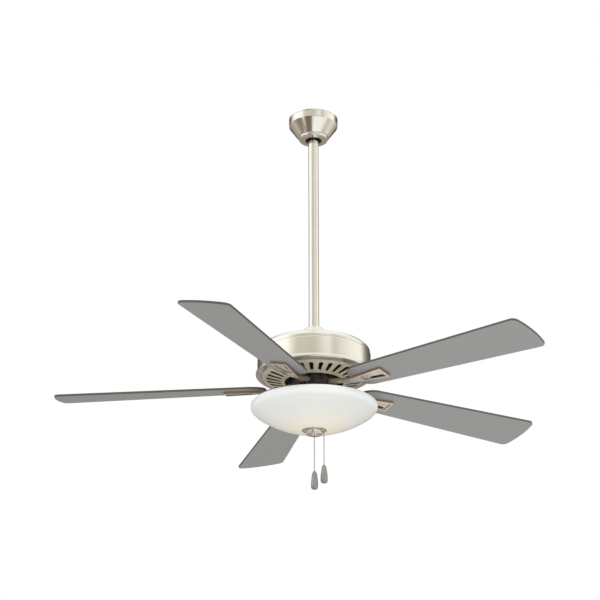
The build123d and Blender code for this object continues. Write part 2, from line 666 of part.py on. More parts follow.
def lock_nuts():
    """Hexagon nuts: one under the switch plate, two on the nipple, one jam nut under the bar."""
    shaft_nut = hexagon(13, SWITCH_TOP - 6, SWITCH_TOP, SHAFT_R)
    upper = hexagon(8, CROSSBAR_TOP, CROSSBAR_TOP + 2.4, NIPPLE_R)
    lower = hexagon(8, CROSSBAR_TOP - 5, CROSSBAR_TOP - 2, NIPPLE_R)
    return [shaft_nut, upper, lower]


def knob_window():
    """Window in the housing wall for the reverse switch's knob."""
    half = KNOB_SIZE[0] / 2 + 0.4
    return slab(-half, half + KNOB_TRAVEL, -SWITCH_R - 2, -SWITCH_R + 6,
                KNOB_Z - KNOB_SIZE[2] / 2 - 0.4, KNOB_Z + KNOB_SIZE[2] / 2 + 0.4)


def switch_housing():
    """Cup below the hub that holds the switches and the capacitor."""
    cup = spun([(SWITCH_R, SWITCH_TOP), (SWITCH_R, SWITCH_FLOOR), (0.001, SWITCH_FLOOR)],
               [4], wall=SHEET)
    cup -= post(4.8, SWITCH_FLOOR - 1, SWITCH_FLOOR + 3)
    cup -= post(3.7, SWITCH_FLOOR - 1, SWITCH_FLOOR + 3, x=LIGHT_CHAIN["x"])
    cup -= knob_window()
    cup -= post(5, SWITCH_FLOOR - 1, SWITCH_FLOOR + 3, *WIRE_HOLE)
    for angle in around(4, 45):
        cup -= post(2.0, SWITCH_FLOOR - 1, SWITCH_FLOOR + 3, *polar(LIGHT_KIT_SCREW_R, angle))
    return cup


def pull_switch(x, body_r, neck_r, nut_r):
    """Pull-chain switch: moulded body, threaded neck and knurled nut, hollow for the chain."""
    floor_inside = SWITCH_FLOOR + SHEET
    body = post(body_r, floor_inside + 0.1, floor_inside + 15)
    body = fillet(body.edges().group_by(Axis.Z)[-1], 1.5)
    body += post(neck_r, SWITCH_FLOOR - 2.9, floor_inside + 0.5)
    nut = post(nut_r, SWITCH_FLOOR - 2.6, SWITCH_FLOOR - 0.1)
    lugs = slab(-4, -2.4, -3, 3, floor_inside + 15, floor_inside + 19)
    body += nut + lugs + Rot(0, 0, 180) * lugs
    body -= post(2.2, SWITCH_FLOOR - 4, CHAIN_TOP + 2)
    return Pos(x, 0, 0) * body


def speed_switch():
    """Three-speed switch of the fan motor."""
    return pull_switch(SPEED_CHAIN["x"], 13, 4.7, 7)


def light_switch():
    """On-off switch of the lamps."""
    return pull_switch(LIGHT_CHAIN["x"], 8, 3.6, 5.5)


def capacitor():
    """Run capacitor, a flat potted block with two lead stubs."""
    block = fillet(slab(-46, -18, -9, 9, -806, -788).edges().filter_by(Axis.Z), 2)
    return block + post(1.2, -788, -784, x=-38) + post(1.2, -788, -784, x=-26)


def reverse_switch():
    """Slide switch body behind the housing wall, with a channel for the knob."""
    half_x, depth = 9.0, 9.0
    back = -SWITCH_R + 3.4
    body = slab(-half_x + 2.5, half_x + 2.5, back, back + depth, KNOB_Z - 6, KNOB_Z + 6)
    channel_half = KNOB_SIZE[0] / 2 + 0.5
    body -= slab(-channel_half, channel_half + KNOB_TRAVEL, back, back + 3.6,
                 KNOB_Z - KNOB_SIZE[2] / 2 - 0.5, KNOB_Z + KNOB_SIZE[2] / 2 + 0.5)
    return body


def reverse_knob():
    """Knob of the reverse switch; it slides along X."""
    width, depth, height = KNOB_SIZE
    front = -SWITCH_R - 1.8
    knob = slab(-width / 2, width / 2, front, front + depth, KNOB_Z - height / 2, KNOB_Z + height / 2)
    return chamfer(knob.faces().sort_by(Axis.Y)[0].edges(), 0.7)


def fitter_pan():
    """Pressed pan over the bowl: flat centre, stiffening step and turned-down rim."""
    top, low = PAN_TOP, PAN_TOP - 1.8
    outline = [(13, top), (64, top), (70, low), (PAN_R, low), (PAN_R, low - 6)]
    pan = spun(outline, [3, 3, 1.8])
    pan -= post(6.5, top - 4, top + 1, x=LIGHT_CHAIN["x"])
    pan -= post(5, top - 4, top + 1, *WIRE_HOLE)
    for angle in around(4, 45):
        pan -= post(2.0, top - 4, top + 1, *polar(LIGHT_KIT_SCREW_R, angle))
    return pan


def crossbar():
    """Strap under the pan that holds the nipple, with a raised foot at each end."""
    half, lift, thick = 34.0, CROSSBAR_TOP, 2.0
    under = PAN_TOP - SHEET
    bar = slab(-8, 8, -half, half, lift - thick, lift)
    for side in (-1, 1):
        inner, outer = sorted((side * (half - 2), side * half))
        bar += slab(-8, 8, inner, outer, lift - thick, under)
        foot_in, foot_out = sorted((side * half, side * (half + 14)))
        bar += slab(-8, 8, foot_in, foot_out, under - thick, under)
    return bar - post(NIPPLE_R + FIT, lift - thick - 1, lift + 1)


def lamp_holders():
    """Two candelabra lamp holders on angle brackets under the pan."""
    holders = []
    for side in (0, 180):
        cup = rod_along_x(12, HOLDER_IN + 2, HOLDER_IN + 30, z=LAMP_AXIS_Z)
        cup -= rod_along_x(6.4, HOLDER_IN + 6, HOLDER_IN + 31, z=LAMP_AXIS_Z)
        arm = slab(HOLDER_IN, HOLDER_IN + 2, -7, 7, LAMP_AXIS_Z - 6, PAN_TOP - SHEET)
        holders.append(Rot(0, 0, side) * (cup + arm))
    return holders


def lamps():
    """Two candelabra LED lamps: screw base, collar and opal candle."""
    bulbs = []
    for side in (0, 180):
        outline = [
            Line((0, 0), (0, 6.2)), Line((0, 6.2), (24, 6.2)),
            Line((24, 6.2), (25.5, 9)), Line((25.5, 9), (35, 13.5)),
            Spline((35, 13.5), (48, LAMP_R), (64, 12), (80, 1.5)),
            Line((80, 1.5), (80, 0)), Line((80, 0), (0, 0)),
        ]
        bulb = revolve(make_face(outline), Axis.X)
        bulbs.append(Rot(0, 0, side) * Pos(HOLDER_IN + 6.5, 0, LAMP_AXIS_Z) * bulb)
    return bulbs


def nipple():
    """Hollow threaded tube that carries the bowl and guides one chain."""
    bottom = FINIAL_BOTTOM + 6
    return post(NIPPLE_R - 0.02, bottom, NIPPLE_TOP) - post(NIPPLE_BORE_R, bottom, NIPPLE_TOP)


def glass_bowl():
    """Opal glass dish: upright lip, stepped shoulder, shallow domed body, hole in the middle."""
    def dish(inset):
        rise = (BOWL_SHOULDER_Z - BOWL_BOTTOM) - 2
        shoulder_r = BOWL_SHOULDER_R - 2
        cap_r = (shoulder_r ** 2 + rise ** 2) / (2 * rise)
        mid = shoulder_r * 0.62
        mid_z = BOWL_BOTTOM + cap_r - math.sqrt(cap_r ** 2 - mid ** 2) - 0.4
        shoulder = (shoulder_r - inset, BOWL_SHOULDER_Z - 2 + inset * 0.4)
        lip_r, lip_z = BOWL_R - inset, BOWL_LIP_BOTTOM + inset * 0.4
        edges = [
            Line((0, BOWL_TOP), (lip_r, BOWL_TOP)),
            Line((lip_r, BOWL_TOP), (lip_r, lip_z)),
            Line((lip_r, lip_z), shoulder),
            ThreePointArc(shoulder, (mid, mid_z + inset), (0, BOWL_BOTTOM + inset)),
            Line((0, BOWL_BOTTOM + inset), (0, BOWL_TOP)),
        ]
        return revolve(Plane.XZ * make_face(edges), Axis.Z)

    bowl = dish(0) - dish(BOWL_WALL)
    rims = bowl.faces().sort_by(Axis.Z)[-1].edges()
    bowl = fillet(rims, 1.6)
    return bowl - post(BOWL_HOLE_R, BOWL_BOTTOM - 2, BOWL_BOTTOM + 20)


def finial():
    """Turned cap that clamps the bowl: broad flange, hollow cone and rounded tip."""
    outline = [
        Line((0, FINIAL_TOP), (FINIAL_R - 1, FINIAL_TOP)),
        ThreePointArc((FINIAL_R - 1, FINIAL_TOP), (FINIAL_R, FINIAL_TOP - 1), (FINIAL_R - 1, FINIAL_TOP - 2)),
        Line((FINIAL_R - 1, FINIAL_TOP - 2), (27, FINIAL_TOP - 3.6)),
        ThreePointArc((27, FINIAL_TOP - 3.6), (21.6, FINIAL_TOP - 6.4), (18.4, FINIAL_TOP - 10)),
        ThreePointArc((18.4, FINIAL_TOP - 10), (20.4, FINIAL_TOP - 11.8), (18.4, FINIAL_TOP - 14)),
        ThreePointArc((18.4, FINIAL_TOP - 14), (13, FINIAL_TOP - 15.8), (6, FINIAL_BOTTOM)),
        Line((6, FINIAL_BOTTOM), (0, FINIAL_BOTTOM)),
        Line((0, FINIAL_BOTTOM), (0, FINIAL_TOP)),
    ]
    cap = revolve(Plane.XZ * make_face(outline), Axis.Z)
    cap -= post(NIPPLE_R, FINIAL_BOTTOM + 5.8, FINIAL_TOP)
    cap -= post(2.5, FINIAL_BOTTOM, FINIAL_BOTTOM + 6)
    return cap - post(2.7, FINIAL_BOTTOM, FINIAL_TOP, x=LIGHT_CHAIN["x"])


def bowl_washer():
    """Rubber ring between the glass and the finial."""
    low, inner, outer = FINIAL_TOP, BOWL_HOLE_R + 1, FINIAL_R - 2
    return turned((inner, low), (outer, low), (outer, low + 1.5), (inner, low + 0.9))


# ---------------------------------------------------------------- wiring and chains
def lead(radius, *points, bend=3.0):
    """Insulated wire along straight runs joined by arcs."""
    path = FilletPolyline(*points, radius=bend)
    return sweep(Plane(path @ 0, z_dir=path % 0) * Circle(radius), path)


def wiring():
    """Supply leads with wire caps in the canopy, and motor leads from the shaft to the switches."""
    wires = []
    for x, y in ((-5, -4.3), (0, 5), (5, -4.3)):
        wires.append(lead(1.1, (x, y, ROD_TOP - 30), (x, y, -15.5), (x * 2.2, y * 2.2, -9.5), bend=2.0))
    for x, y in ((-2.5, -1.5), (2.5, -1.5), (0, 3)):
        wires.append(lead(1.0, (x, y, SHAFT_BOTTOM + 40), (x, y, SHAFT_BOTTOM - 1.6),
                          (x * 6, y * 6 + 6, SHAFT_BOTTOM - 4.4), bend=1.6))
    return wires


def chain_inner(chain):
    """Beaded chain inside the fan, from the switch down to where it leaves the finial."""
    bead_r, pitch = CHAIN_R, 4.2
    stop = chain["exit"] + CHAIN_R + 0.3
    count = int((CHAIN_TOP - stop) / pitch)
    pitch = (CHAIN_TOP - stop - 2 * bead_r) / count
    string = post(0.5, stop + bead_r, CHAIN_TOP - bead_r)
    for k in range(count + 1):
        string += Pos(0, 0, stop + bead_r + k * pitch) * Sphere(bead_r)
    return Pos(chain["x"], 0, 0) * string


def chain_tail(chain):
    """Free chain below the finial, as a plain tube that starts with its pivot bead."""
    tail = post(CHAIN_R, chain["fob_top"], chain["exit"]) + Pos(0, 0, chain["exit"]) * Sphere(CHAIN_R)
    return Pos(chain["x"], 0, 0) * tail


def chain_fob(chain):
    """Drop-shaped pull: rounded shoulders, full body low down, broad rounded foot."""
    top = chain["fob_top"]
    foot = top - FOB_LENGTH
    cap_r, neck_r, foot_r = 2.4, 5.4, 3.4
    outline = [
        Line((0, top), (cap_r, top)),
        ThreePointArc((cap_r, top), (4.4, top - 1.0), (neck_r, top - 4)),
        Spline((neck_r, top - 4), (6.9, top - 12), (FOB_R - 0.5, foot + 23), (FOB_R, foot + 10)),
        ThreePointArc((FOB_R, foot + 10), (7.3, foot + 2.6), (foot_r, foot)),
        Line((foot_r, foot), (0, foot)),
        Line((0, foot), (0, top)),
    ]
    return Pos(chain["x"], 0, 0) * revolve(Plane.XZ * make_face(outline), Axis.Z)


# ---------------------------------------------------------------- write the parts
def solids_of(shape):
    """One shape or a list of shapes as a compound of its separate solids."""
    shapes = shape if isinstance(shape, list) else [shape]
    return Compound(children=[solid for item in shapes for solid in item.solids()])


def main():
    os.makedirs("parts", exist_ok=True)
    makers = [
        hanger_bracket, ceiling_canopy, canopy_screws, hanger_ball, cross_pins, cotter_pin,
        set_screws, downrod, coupling_cover, motor_yoke, housing_dome, housing_band, vent_ring,
        housing_screws, motor_shaft, stator_core, stator_windings, bearing_inner_races,
        bearing_outer_races, bearing_balls, rotor_top_bell, rotor_bottom_bell, rotor_ring,
        blade_hub, hub_screws, blade_screws, switch_plate, lock_nuts, switch_housing,
        speed_switch, light_switch, capacitor, reverse_switch, reverse_knob, fitter_pan,
        crossbar, lamp_holders, lamps, nipple, glass_bowl, finial, bowl_washer, wiring,
    ]
    parts = {maker.__name__: maker() for maker in makers}
    for number, angle in enumerate(around(BLADE_COUNT, FIRST_BLADE_ANGLE), start=1):
        parts[f"blade_arm_{number}"] = blade_arm(angle)
        parts[f"blade_{number}"] = blade(angle)
    for name, chain in (("speed", SPEED_CHAIN), ("light", LIGHT_CHAIN)):
        parts[f"{name}_chain_inner"] = chain_inner(chain)
        parts[f"{name}_chain"] = chain_tail(chain)
        parts[f"{name}_fob"] = chain_fob(chain)
    for name, shape in parts.items():
        export_step(solids_of(shape), f"parts/{name}.step")


main()
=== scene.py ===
import json
import math

import bpy
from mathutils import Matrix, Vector


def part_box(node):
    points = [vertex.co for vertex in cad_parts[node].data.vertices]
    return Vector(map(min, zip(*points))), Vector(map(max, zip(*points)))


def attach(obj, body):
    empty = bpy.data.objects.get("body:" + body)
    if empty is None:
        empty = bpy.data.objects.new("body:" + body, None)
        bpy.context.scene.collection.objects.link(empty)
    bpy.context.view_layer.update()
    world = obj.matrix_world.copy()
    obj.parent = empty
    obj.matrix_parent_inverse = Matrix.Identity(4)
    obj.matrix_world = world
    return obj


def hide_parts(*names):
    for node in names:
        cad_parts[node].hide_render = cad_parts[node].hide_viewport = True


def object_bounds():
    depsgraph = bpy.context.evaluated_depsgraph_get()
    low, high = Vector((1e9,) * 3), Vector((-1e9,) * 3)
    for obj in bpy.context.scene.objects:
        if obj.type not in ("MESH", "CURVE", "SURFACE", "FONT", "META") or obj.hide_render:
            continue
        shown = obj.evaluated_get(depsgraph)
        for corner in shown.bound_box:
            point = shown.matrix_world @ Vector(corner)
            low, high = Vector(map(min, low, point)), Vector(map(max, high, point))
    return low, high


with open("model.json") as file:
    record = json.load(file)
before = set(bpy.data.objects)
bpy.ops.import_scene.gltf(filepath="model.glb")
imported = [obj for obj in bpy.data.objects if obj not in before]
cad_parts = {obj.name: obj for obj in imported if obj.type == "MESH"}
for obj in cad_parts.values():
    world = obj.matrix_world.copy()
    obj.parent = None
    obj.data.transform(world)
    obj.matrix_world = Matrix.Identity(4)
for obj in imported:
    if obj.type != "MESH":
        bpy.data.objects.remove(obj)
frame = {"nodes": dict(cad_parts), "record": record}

cad_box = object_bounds()
nodes = frame["nodes"]


# ---------------------------------------------------------------- places taken from the frame
def outer_radius(node):
    """Largest distance from the fan's axis that a node reaches along X."""
    low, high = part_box(node)
    return max(-low.x, high.x)


FAN_DROP = -cad_box[0][2]
ROD_R = outer_radius("downrod")
CANOPY_R = outer_radius("ceiling_canopy")
CANOPY_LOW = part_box("ceiling_canopy")[0].z
COVER_R = outer_radius("coupling_cover")
COVER_LOW, COVER_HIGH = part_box("coupling_cover")[0].z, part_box("coupling_cover")[1].z
DOME_R = outer_radius("housing_dome")
DOME_LOW, DOME_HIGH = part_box("housing_dome")[0].z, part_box("housing_dome")[1].z
LIP_R = outer_radius("housing_band")
BAND_LOW, BAND_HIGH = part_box("housing_band")[0].z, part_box("housing_band")[1].z
BAND_R = LIP_R - 0.004
BOWL_R = outer_radius("glass_bowl")
BOWL_LOW, BOWL_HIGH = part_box("glass_bowl")[0].z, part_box("glass_bowl")[1].z
FINIAL_R = outer_radius("finial")
FINIAL_LOW, FINIAL_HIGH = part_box("finial")[0].z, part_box("finial")[1].z
SHEET = 0.0012


def blade_angle(number):
    """Rest angle of a blade about the axis, from the middle of its box's far side."""
    mesh = nodes[f"blade_{number}"].data
    far = [v.co for v in mesh.vertices if Vector((v.co.x, v.co.y)).length > 0.6]
    middle = sum((Vector((p.x, p.y)) for p in far), Vector((0, 0))) / len(far)
    return math.atan2(middle.y, middle.x)


BLADE_THICK = 0.006


def blade_axes(number):
    """Directions along, across and below a blade, with the length of the last at its underside."""
    mesh = nodes[f"blade_{number}"].data
    under = [face for face in mesh.polygons if face.normal.z < -0.9]
    below = sum((face.normal * face.area for face in under), Vector()).normalized()
    depth = sum(face.center.dot(below) * face.area for face in under) / sum(face.area for face in under)
    turn = blade_angle(number)
    across = Vector((-math.sin(turn), math.cos(turn), 0))
    along = across.cross(-below).normalized()
    return along, -below.cross(along), below, depth


# ---------------------------------------------------------------- outlines
def rounded(points, radii, steps=6):
    """An outline of (radius, height) points with its inner corners rounded by arcs."""
    outline = [points[0]]
    for before, corner, after, radius in zip(points, points[1:], points[2:], radii):
        to_before = (Vector(before) - Vector(corner)).normalized()
        to_after = (Vector(after) - Vector(corner)).normalized()
        half = to_before.angle(to_after) / 2
        middle = (to_before + to_after).normalized()
        centre = Vector(corner) + middle * (radius / math.sin(half))
        start = Vector(corner) + to_before * (radius / math.tan(half)) - centre
        end = Vector(corner) + to_after * (radius / math.tan(half)) - centre
        for step in range(steps + 1):
            share = step / steps
            spoke = start.slerp(end, share) if start.angle(end) > 1e-4 else start
            outline.append(tuple(centre + spoke.normalized() * radius))
    outline.append(points[-1])
    return outline


def walled(outline, thickness):
    """Closes an outline into a thin wall, with the inner side to the right of its direction."""
    inner = []
    for index, point in enumerate(outline):
        before = Vector(outline[max(index - 1, 0)])
        after = Vector(outline[min(index + 1, len(outline) - 1)])
        along = (after - before).normalized()
        inner.append((point[0] + along.y * thickness, point[1] - along.x * thickness))
    return outline + inner[::-1] + [outline[0]]


# ---------------------------------------------------------------- modelling by hand
def select_none():
    bpy.ops.object.select_all(action="DESELECT")


def settle(piece, angle=35):
    """Puts a finished piece's place into its mesh and smooths it by angle."""
    select_none()
    piece.select_set(True)
    bpy.context.view_layer.objects.active = piece
    bpy.ops.object.transform_apply(location=True, rotation=True, scale=True)
    bpy.ops.object.shade_smooth_by_angle(angle=math.radians(angle))
    return piece


def clean_mesh():
    """In edit mode: merges doubles and turns the faces outwards."""
    bpy.ops.mesh.select_all(action="SELECT")
    bpy.ops.mesh.remove_doubles(threshold=1e-6)
    bpy.ops.mesh.normals_make_consistent(inside=False)


def lathe(name, outline, around=128, x=0.0, y=0.0, smooth=35):
    """Turned piece: a ring is extruded and resized from each (radius, height) to the next."""
    select_none()
    radius, height = outline[0]
    fill = "TRIFAN" if radius < 1e-3 else "NOTHING"
    bpy.ops.mesh.primitive_circle_add(vertices=around, radius=max(radius, 1e-5), fill_type=fill,
                                      location=(x, y, height))
    piece = bpy.context.object
    piece.name = name
    bpy.ops.object.mode_set(mode="EDIT")
    radius = max(radius, 1e-5)
    if fill == "TRIFAN":
        bpy.ops.mesh.region_to_loop()
    for next_radius, next_height in outline[1:]:
        next_radius = max(next_radius, 1e-5)
        bpy.ops.mesh.extrude_edges_move(TRANSFORM_OT_translate={"value": (0, 0, next_height - height)})
        ratio = next_radius / radius
        bpy.ops.transform.resize(value=(ratio, ratio, 1), center_override=(x, y, next_height))
        radius, height = next_radius, next_height
    if radius < 1e-3:
        bpy.ops.mesh.merge(type="CENTER")
    clean_mesh()
    bpy.ops.object.mode_set(mode="OBJECT")
    return settle(piece, smooth)


def join(name, pieces):
    """Joins pieces into one object with that name."""
    select_none()
    for piece in pieces:
        piece.select_set(True)
    bpy.context.view_layer.objects.active = pieces[0]
    if len(pieces) > 1:
        bpy.ops.object.join()
    pieces[0].name = name
    return pieces[0]


# ---------------------------------------------------------------- shader groups
def new_group(name, inputs, outputs):
    """Empty shader group with its sockets, and its two end nodes."""
    group = bpy.data.node_groups.new(name, "ShaderNodeTree")
    for socket, kind, value in inputs:
        item = group.interface.new_socket(socket, in_out="INPUT", socket_type=kind)
        item.default_value = value
    for socket, kind in outputs:
        group.interface.new_socket(socket, in_out="OUTPUT", socket_type=kind)
    return group, group.nodes.new("NodeGroupInput"), group.nodes.new("NodeGroupOutput")


def add_node(tree, kind, **settings):
    """Node with settings for its properties, and values for its inputs by position in a dict."""
    node = tree.nodes.new(kind)
    values = settings.pop("inputs", {})
    for key, value in settings.items():
        setattr(node, key, value)
    for key, value in values.items():
        node.inputs[key].default_value = value
    return node


def math_node(tree, operation, first, second=None):
    """Math node on sockets or numbers."""
    node = add_node(tree, "ShaderNodeMath", operation=operation)
    for index, value in enumerate((first, second)):
        if value is None:
            continue
        if isinstance(value, (int, float)):
            node.inputs[index].default_value = value
        else:
            tree.links.new(value, node.inputs[index])
    return node.outputs[0]


def spread(tree, value, low, high, to_low=0.0, to_high=1.0):
    """Map Range node from a socket."""
    node = add_node(tree, "ShaderNodeMapRange", inputs={1: low, 2: high, 3: to_low, 4: to_high})
    tree.links.new(value, node.inputs[0])
    return node.outputs[0]


def turned_grain_group():
    """Fine brushed lines that run round the fan's axis, as on a piece polished while it turns."""
    group, ins, outs = new_group(
        "turned_grain",
        [("Lines", "NodeSocketFloat", 900.0), ("Depth", "NodeSocketFloat", 1.0)],
        [("Grain", "NodeSocketFloat"), ("Cloud", "NodeSocketFloat")])
    place = add_node(group, "ShaderNodeTexCoord").outputs["Object"]
    split = add_node(group, "ShaderNodeSeparateXYZ")
    group.links.new(place, split.inputs[0])
    x, y, z = split.outputs
    reach = math_node(group, "SQRT", math_node(group, "ADD", math_node(group, "MULTIPLY", x, x),
                                               math_node(group, "MULTIPLY", y, y)))
    turn = math_node(group, "ARCTAN2", y, x)
    lines = add_node(group, "ShaderNodeCombineXYZ")
    group.links.new(math_node(group, "MULTIPLY", reach, ins.outputs["Lines"]), lines.inputs[0])
    group.links.new(math_node(group, "MULTIPLY", turn, 2.0), lines.inputs[1])
    group.links.new(math_node(group, "MULTIPLY", z, ins.outputs["Lines"]), lines.inputs[2])
    fine = add_node(group, "ShaderNodeTexNoise", inputs={"Scale": 1.0, "Detail": 2.0})
    group.links.new(lines.outputs[0], fine.inputs["Vector"])
    grain = math_node(group, "MULTIPLY", fine.outputs[0], ins.outputs["Depth"])
    group.links.new(grain, outs.inputs["Grain"])
    cloud = add_node(group, "ShaderNodeTexNoise", inputs={"Scale": 14.0, "Detail": 2.0})
    group.links.new(place, cloud.inputs["Vector"])
    group.links.new(cloud.outputs[0], outs.inputs["Cloud"])
    return group


def cast_grain_group():
    """Soft lumps and small pits of a casting or moulding."""
    group, ins, outs = new_group(
        "cast_grain", [("Size", "NodeSocketFloat", 700.0)],
        [("Grain", "NodeSocketFloat"), ("Cloud", "NodeSocketFloat")])
    place = add_node(group, "ShaderNodeTexCoord").outputs["Object"]
    fine = add_node(group, "ShaderNodeTexNoise", inputs={"Detail": 3.0, "Roughness": 0.6})
    group.links.new(place, fine.inputs["Vector"])
    group.links.new(ins.outputs["Size"], fine.inputs["Scale"])
    group.links.new(fine.outputs[0], outs.inputs["Grain"])
    cloud = add_node(group, "ShaderNodeTexNoise", inputs={"Scale": 30.0, "Detail": 2.0})
    group.links.new(place, cloud.inputs["Vector"])
    group.links.new(cloud.outputs[0], outs.inputs["Cloud"])
    return group


def edge_wear_group():
    """Mask of the sharp outer edges, where plate or paint wears through."""
    group, ins, outs = new_group(
        "edge_wear", [("Amount", "NodeSocketFloat", 0.5)], [("Mask", "NodeSocketFloat")])
    sharp = add_node(group, "ShaderNodeNewGeometry").outputs["Pointiness"]
    edge = spread(group, sharp, 0.53, 0.62)
    place = add_node(group, "ShaderNodeTexCoord").outputs["Object"]
    patch = add_node(group, "ShaderNodeTexNoise", inputs={"Scale": 90.0, "Detail": 3.0})
    group.links.new(place, patch.inputs["Vector"])
    broken = math_node(group, "MULTIPLY", edge, spread(group, patch.outputs[0], 0.35, 0.65))
    group.links.new(math_node(group, "MULTIPLY", broken, ins.outputs["Amount"]), outs.inputs["Mask"])
    return group


def dust_group():
    """Thin dust that settles on faces that look up."""
    group, ins, outs = new_group(
        "settled_dust", [("Amount", "NodeSocketFloat", 0.25)], [("Mask", "NodeSocketFloat")])
    normal = add_node(group, "ShaderNodeNewGeometry").outputs["Normal"]
    split = add_node(group, "ShaderNodeSeparateXYZ")
    group.links.new(normal, split.inputs[0])
    upward = spread(group, split.outputs[2], 0.55, 1.0)
    place = add_node(group, "ShaderNodeTexCoord").outputs["Object"]
    patch = add_node(group, "ShaderNodeTexNoise", inputs={"Scale": 55.0, "Detail": 4.0})
    group.links.new(place, patch.inputs["Vector"])
    mask = math_node(group, "MULTIPLY", upward, spread(group, patch.outputs[0], 0.3, 0.75))
    group.links.new(math_node(group, "MULTIPLY", mask, ins.outputs["Amount"]), outs.inputs["Mask"])
    return group


def inner_side_group():
    """Mask of a cover's inner faces, which get painted shade: to the axis, up (1) or down (-1), and the walls of its
    slots.
    """
    group, ins, outs = new_group(
        "inner_side", [("Upwards", "NodeSocketFloat", 1.0)], [("Mask", "NodeSocketFloat")])
    place = add_node(group, "ShaderNodeTexCoord").outputs["Object"]
    level = add_node(group, "ShaderNodeVectorMath", operation="MULTIPLY")
    level.inputs[1].default_value = (1, 1, 0)
    group.links.new(place, level.inputs[0])
    outward = add_node(group, "ShaderNodeVectorMath", operation="NORMALIZE")
    group.links.new(level.outputs[0], outward.inputs[0])
    facing = add_node(group, "ShaderNodeNewGeometry").outputs["Normal"]
    agree = add_node(group, "ShaderNodeVectorMath", operation="DOT_PRODUCT")
    group.links.new(outward.outputs[0], agree.inputs[0])
    group.links.new(facing, agree.inputs[1])
    inward = spread(group, agree.outputs["Value"], -0.15, -0.35)
    split = add_node(group, "ShaderNodeSeparateXYZ")
    group.links.new(facing, split.inputs[0])
    lift = math_node(group, "MULTIPLY", split.outputs[2], ins.outputs["Upwards"])
    upward = spread(group, lift, 0.3, 0.5)
    sideways = add_node(group, "ShaderNodeVectorMath", operation="CROSS_PRODUCT")
    group.links.new(outward.outputs[0], sideways.inputs[0])
    group.links.new(facing, sideways.inputs[1])
    turned = add_node(group, "ShaderNodeSeparateXYZ")
    group.links.new(sideways.outputs[0], turned.inputs[0])
    slot_wall = spread(group, math_node(group, "ABSOLUTE", turned.outputs[2]), 0.40, 0.60)
    hidden = math_node(group, "MAXIMUM", upward, slot_wall)
    group.links.new(math_node(group, "MAXIMUM", inward, hidden), outs.inputs["Mask"])
    return group


ARM_PLATE = 0.007           # thickness of an arm's plate below the blade
ARM_SLOT = {"Slot Along": 0.197, "Slot Across": 0.0098, "Slot Half": 0.019, "Slot Wide": 0.0036}
ARM_SLOT_TURN = math.radians(5.0)


def arm_casting_group():
    """Masks of an arm in its blade's own directions, for its painted shade: slot, steep sides, and the recess floor.
    """
    vectors = [(name, "NodeSocketVector", (0, 0, 0)) for name in ("Along", "Across", "Below")]
    numbers = [(name, "NodeSocketFloat", value) for name, value in ARM_SLOT.items()]
    group, ins, outs = new_group(
        "arm_casting", vectors + numbers + [("Underside", "NodeSocketFloat", 0.0)],
        [("Slot", "NodeSocketFloat"), ("Side", "NodeSocketFloat"), ("Recess", "NodeSocketFloat")])
    place = add_node(group, "ShaderNodeTexCoord").outputs["Object"]
    facing = add_node(group, "ShaderNodeNewGeometry").outputs["Normal"]

    def measured(first, name):
        node = add_node(group, "ShaderNodeVectorMath", operation="DOT_PRODUCT")
        group.links.new(first, node.inputs[0])
        group.links.new(ins.outputs[name], node.inputs[1])
        return node.outputs["Value"]

    along = math_node(group, "SUBTRACT", measured(place, "Along"), ins.outputs["Slot Along"])
    across = math_node(group, "SUBTRACT", measured(place, "Across"), ins.outputs["Slot Across"])
    depth = math_node(group, "SUBTRACT", measured(place, "Below"), ins.outputs["Underside"])
    lean_cos, lean_sin = math.cos(ARM_SLOT_TURN), math.sin(ARM_SLOT_TURN)
    length = math_node(group, "ADD", math_node(group, "MULTIPLY", along, lean_cos),
                       math_node(group, "MULTIPLY", across, lean_sin))
    width = math_node(group, "SUBTRACT", math_node(group, "MULTIPLY", across, lean_cos),
                      math_node(group, "MULTIPLY", along, lean_sin))
    in_length = math_node(group, "LESS_THAN", math_node(group, "ABSOLUTE", length), ins.outputs["Slot Half"])
    in_width = math_node(group, "LESS_THAN", math_node(group, "ABSOLUTE", width), ins.outputs["Slot Wide"])
    inside = math_node(group, "LESS_THAN", depth, ARM_PLATE - 0.0004)
    slot = math_node(group, "MULTIPLY", math_node(group, "MULTIPLY", in_length, in_width), inside)
    group.links.new(slot, outs.inputs["Slot"])
    down = math_node(group, "ABSOLUTE", measured(facing, "Below"))
    group.links.new(spread(group, down, 0.85, 0.6), outs.inputs["Side"])
    group.links.new(spread(group, depth, ARM_PLATE - 0.0006, ARM_PLATE - 0.0024), outs.inputs["Recess"])
    return group


GROUPS = {
    "turned": turned_grain_group(),
    "cast": cast_grain_group(),
    "wear": edge_wear_group(),
    "dust": dust_group(),
    "inner": inner_side_group(),
    "arm": arm_casting_group(),
}


# ---------------------------------------------------------------- materials
DUST = (0.42, 0.41, 0.39)
INNER_PAINTED_SHADE = (0.012, 0.011, 0.010)      # painted shade: near-black on the covers' inner faces and slot walls, standing in for the shade inside the housing


def new_material(name):
    """Material with its tree and its shader."""
    material = bpy.data.materials.new(name)
    material.use_nodes = True
    tree = material.node_tree
    return material, tree, tree.nodes["Principled BSDF"]


def place_group(tree, which, **values):
    """Places a shared group in a material, with its own values."""
    node = add_node(tree, "ShaderNodeGroup", node_tree=GROUPS[which])
    for key, value in values.items():
        node.inputs[key].default_value = value
    return node


def blend_colors(tree, mask, first, second):
    """Mixes two colours, each a tuple or a socket, by a mask."""
    node = add_node(tree, "ShaderNodeMix", data_type="RGBA")
    tree.links.new(mask, node.inputs["Factor"])
    for socket, value in ((node.inputs[6], first), (node.inputs[7], second)):
        if isinstance(value, tuple):
            socket.default_value = (*value, 1.0)
        else:
            tree.links.new(value, socket)
    return node.outputs[2]


def bump(tree, shader, height, strength, distance):
    """Bump node on the shader's normal."""
    node = add_node(tree, "ShaderNodeBump", inputs={"Strength": strength, "Distance": distance})
    tree.links.new(height, node.inputs["Height"])
    tree.links.new(node.outputs[0], shader.inputs["Normal"])


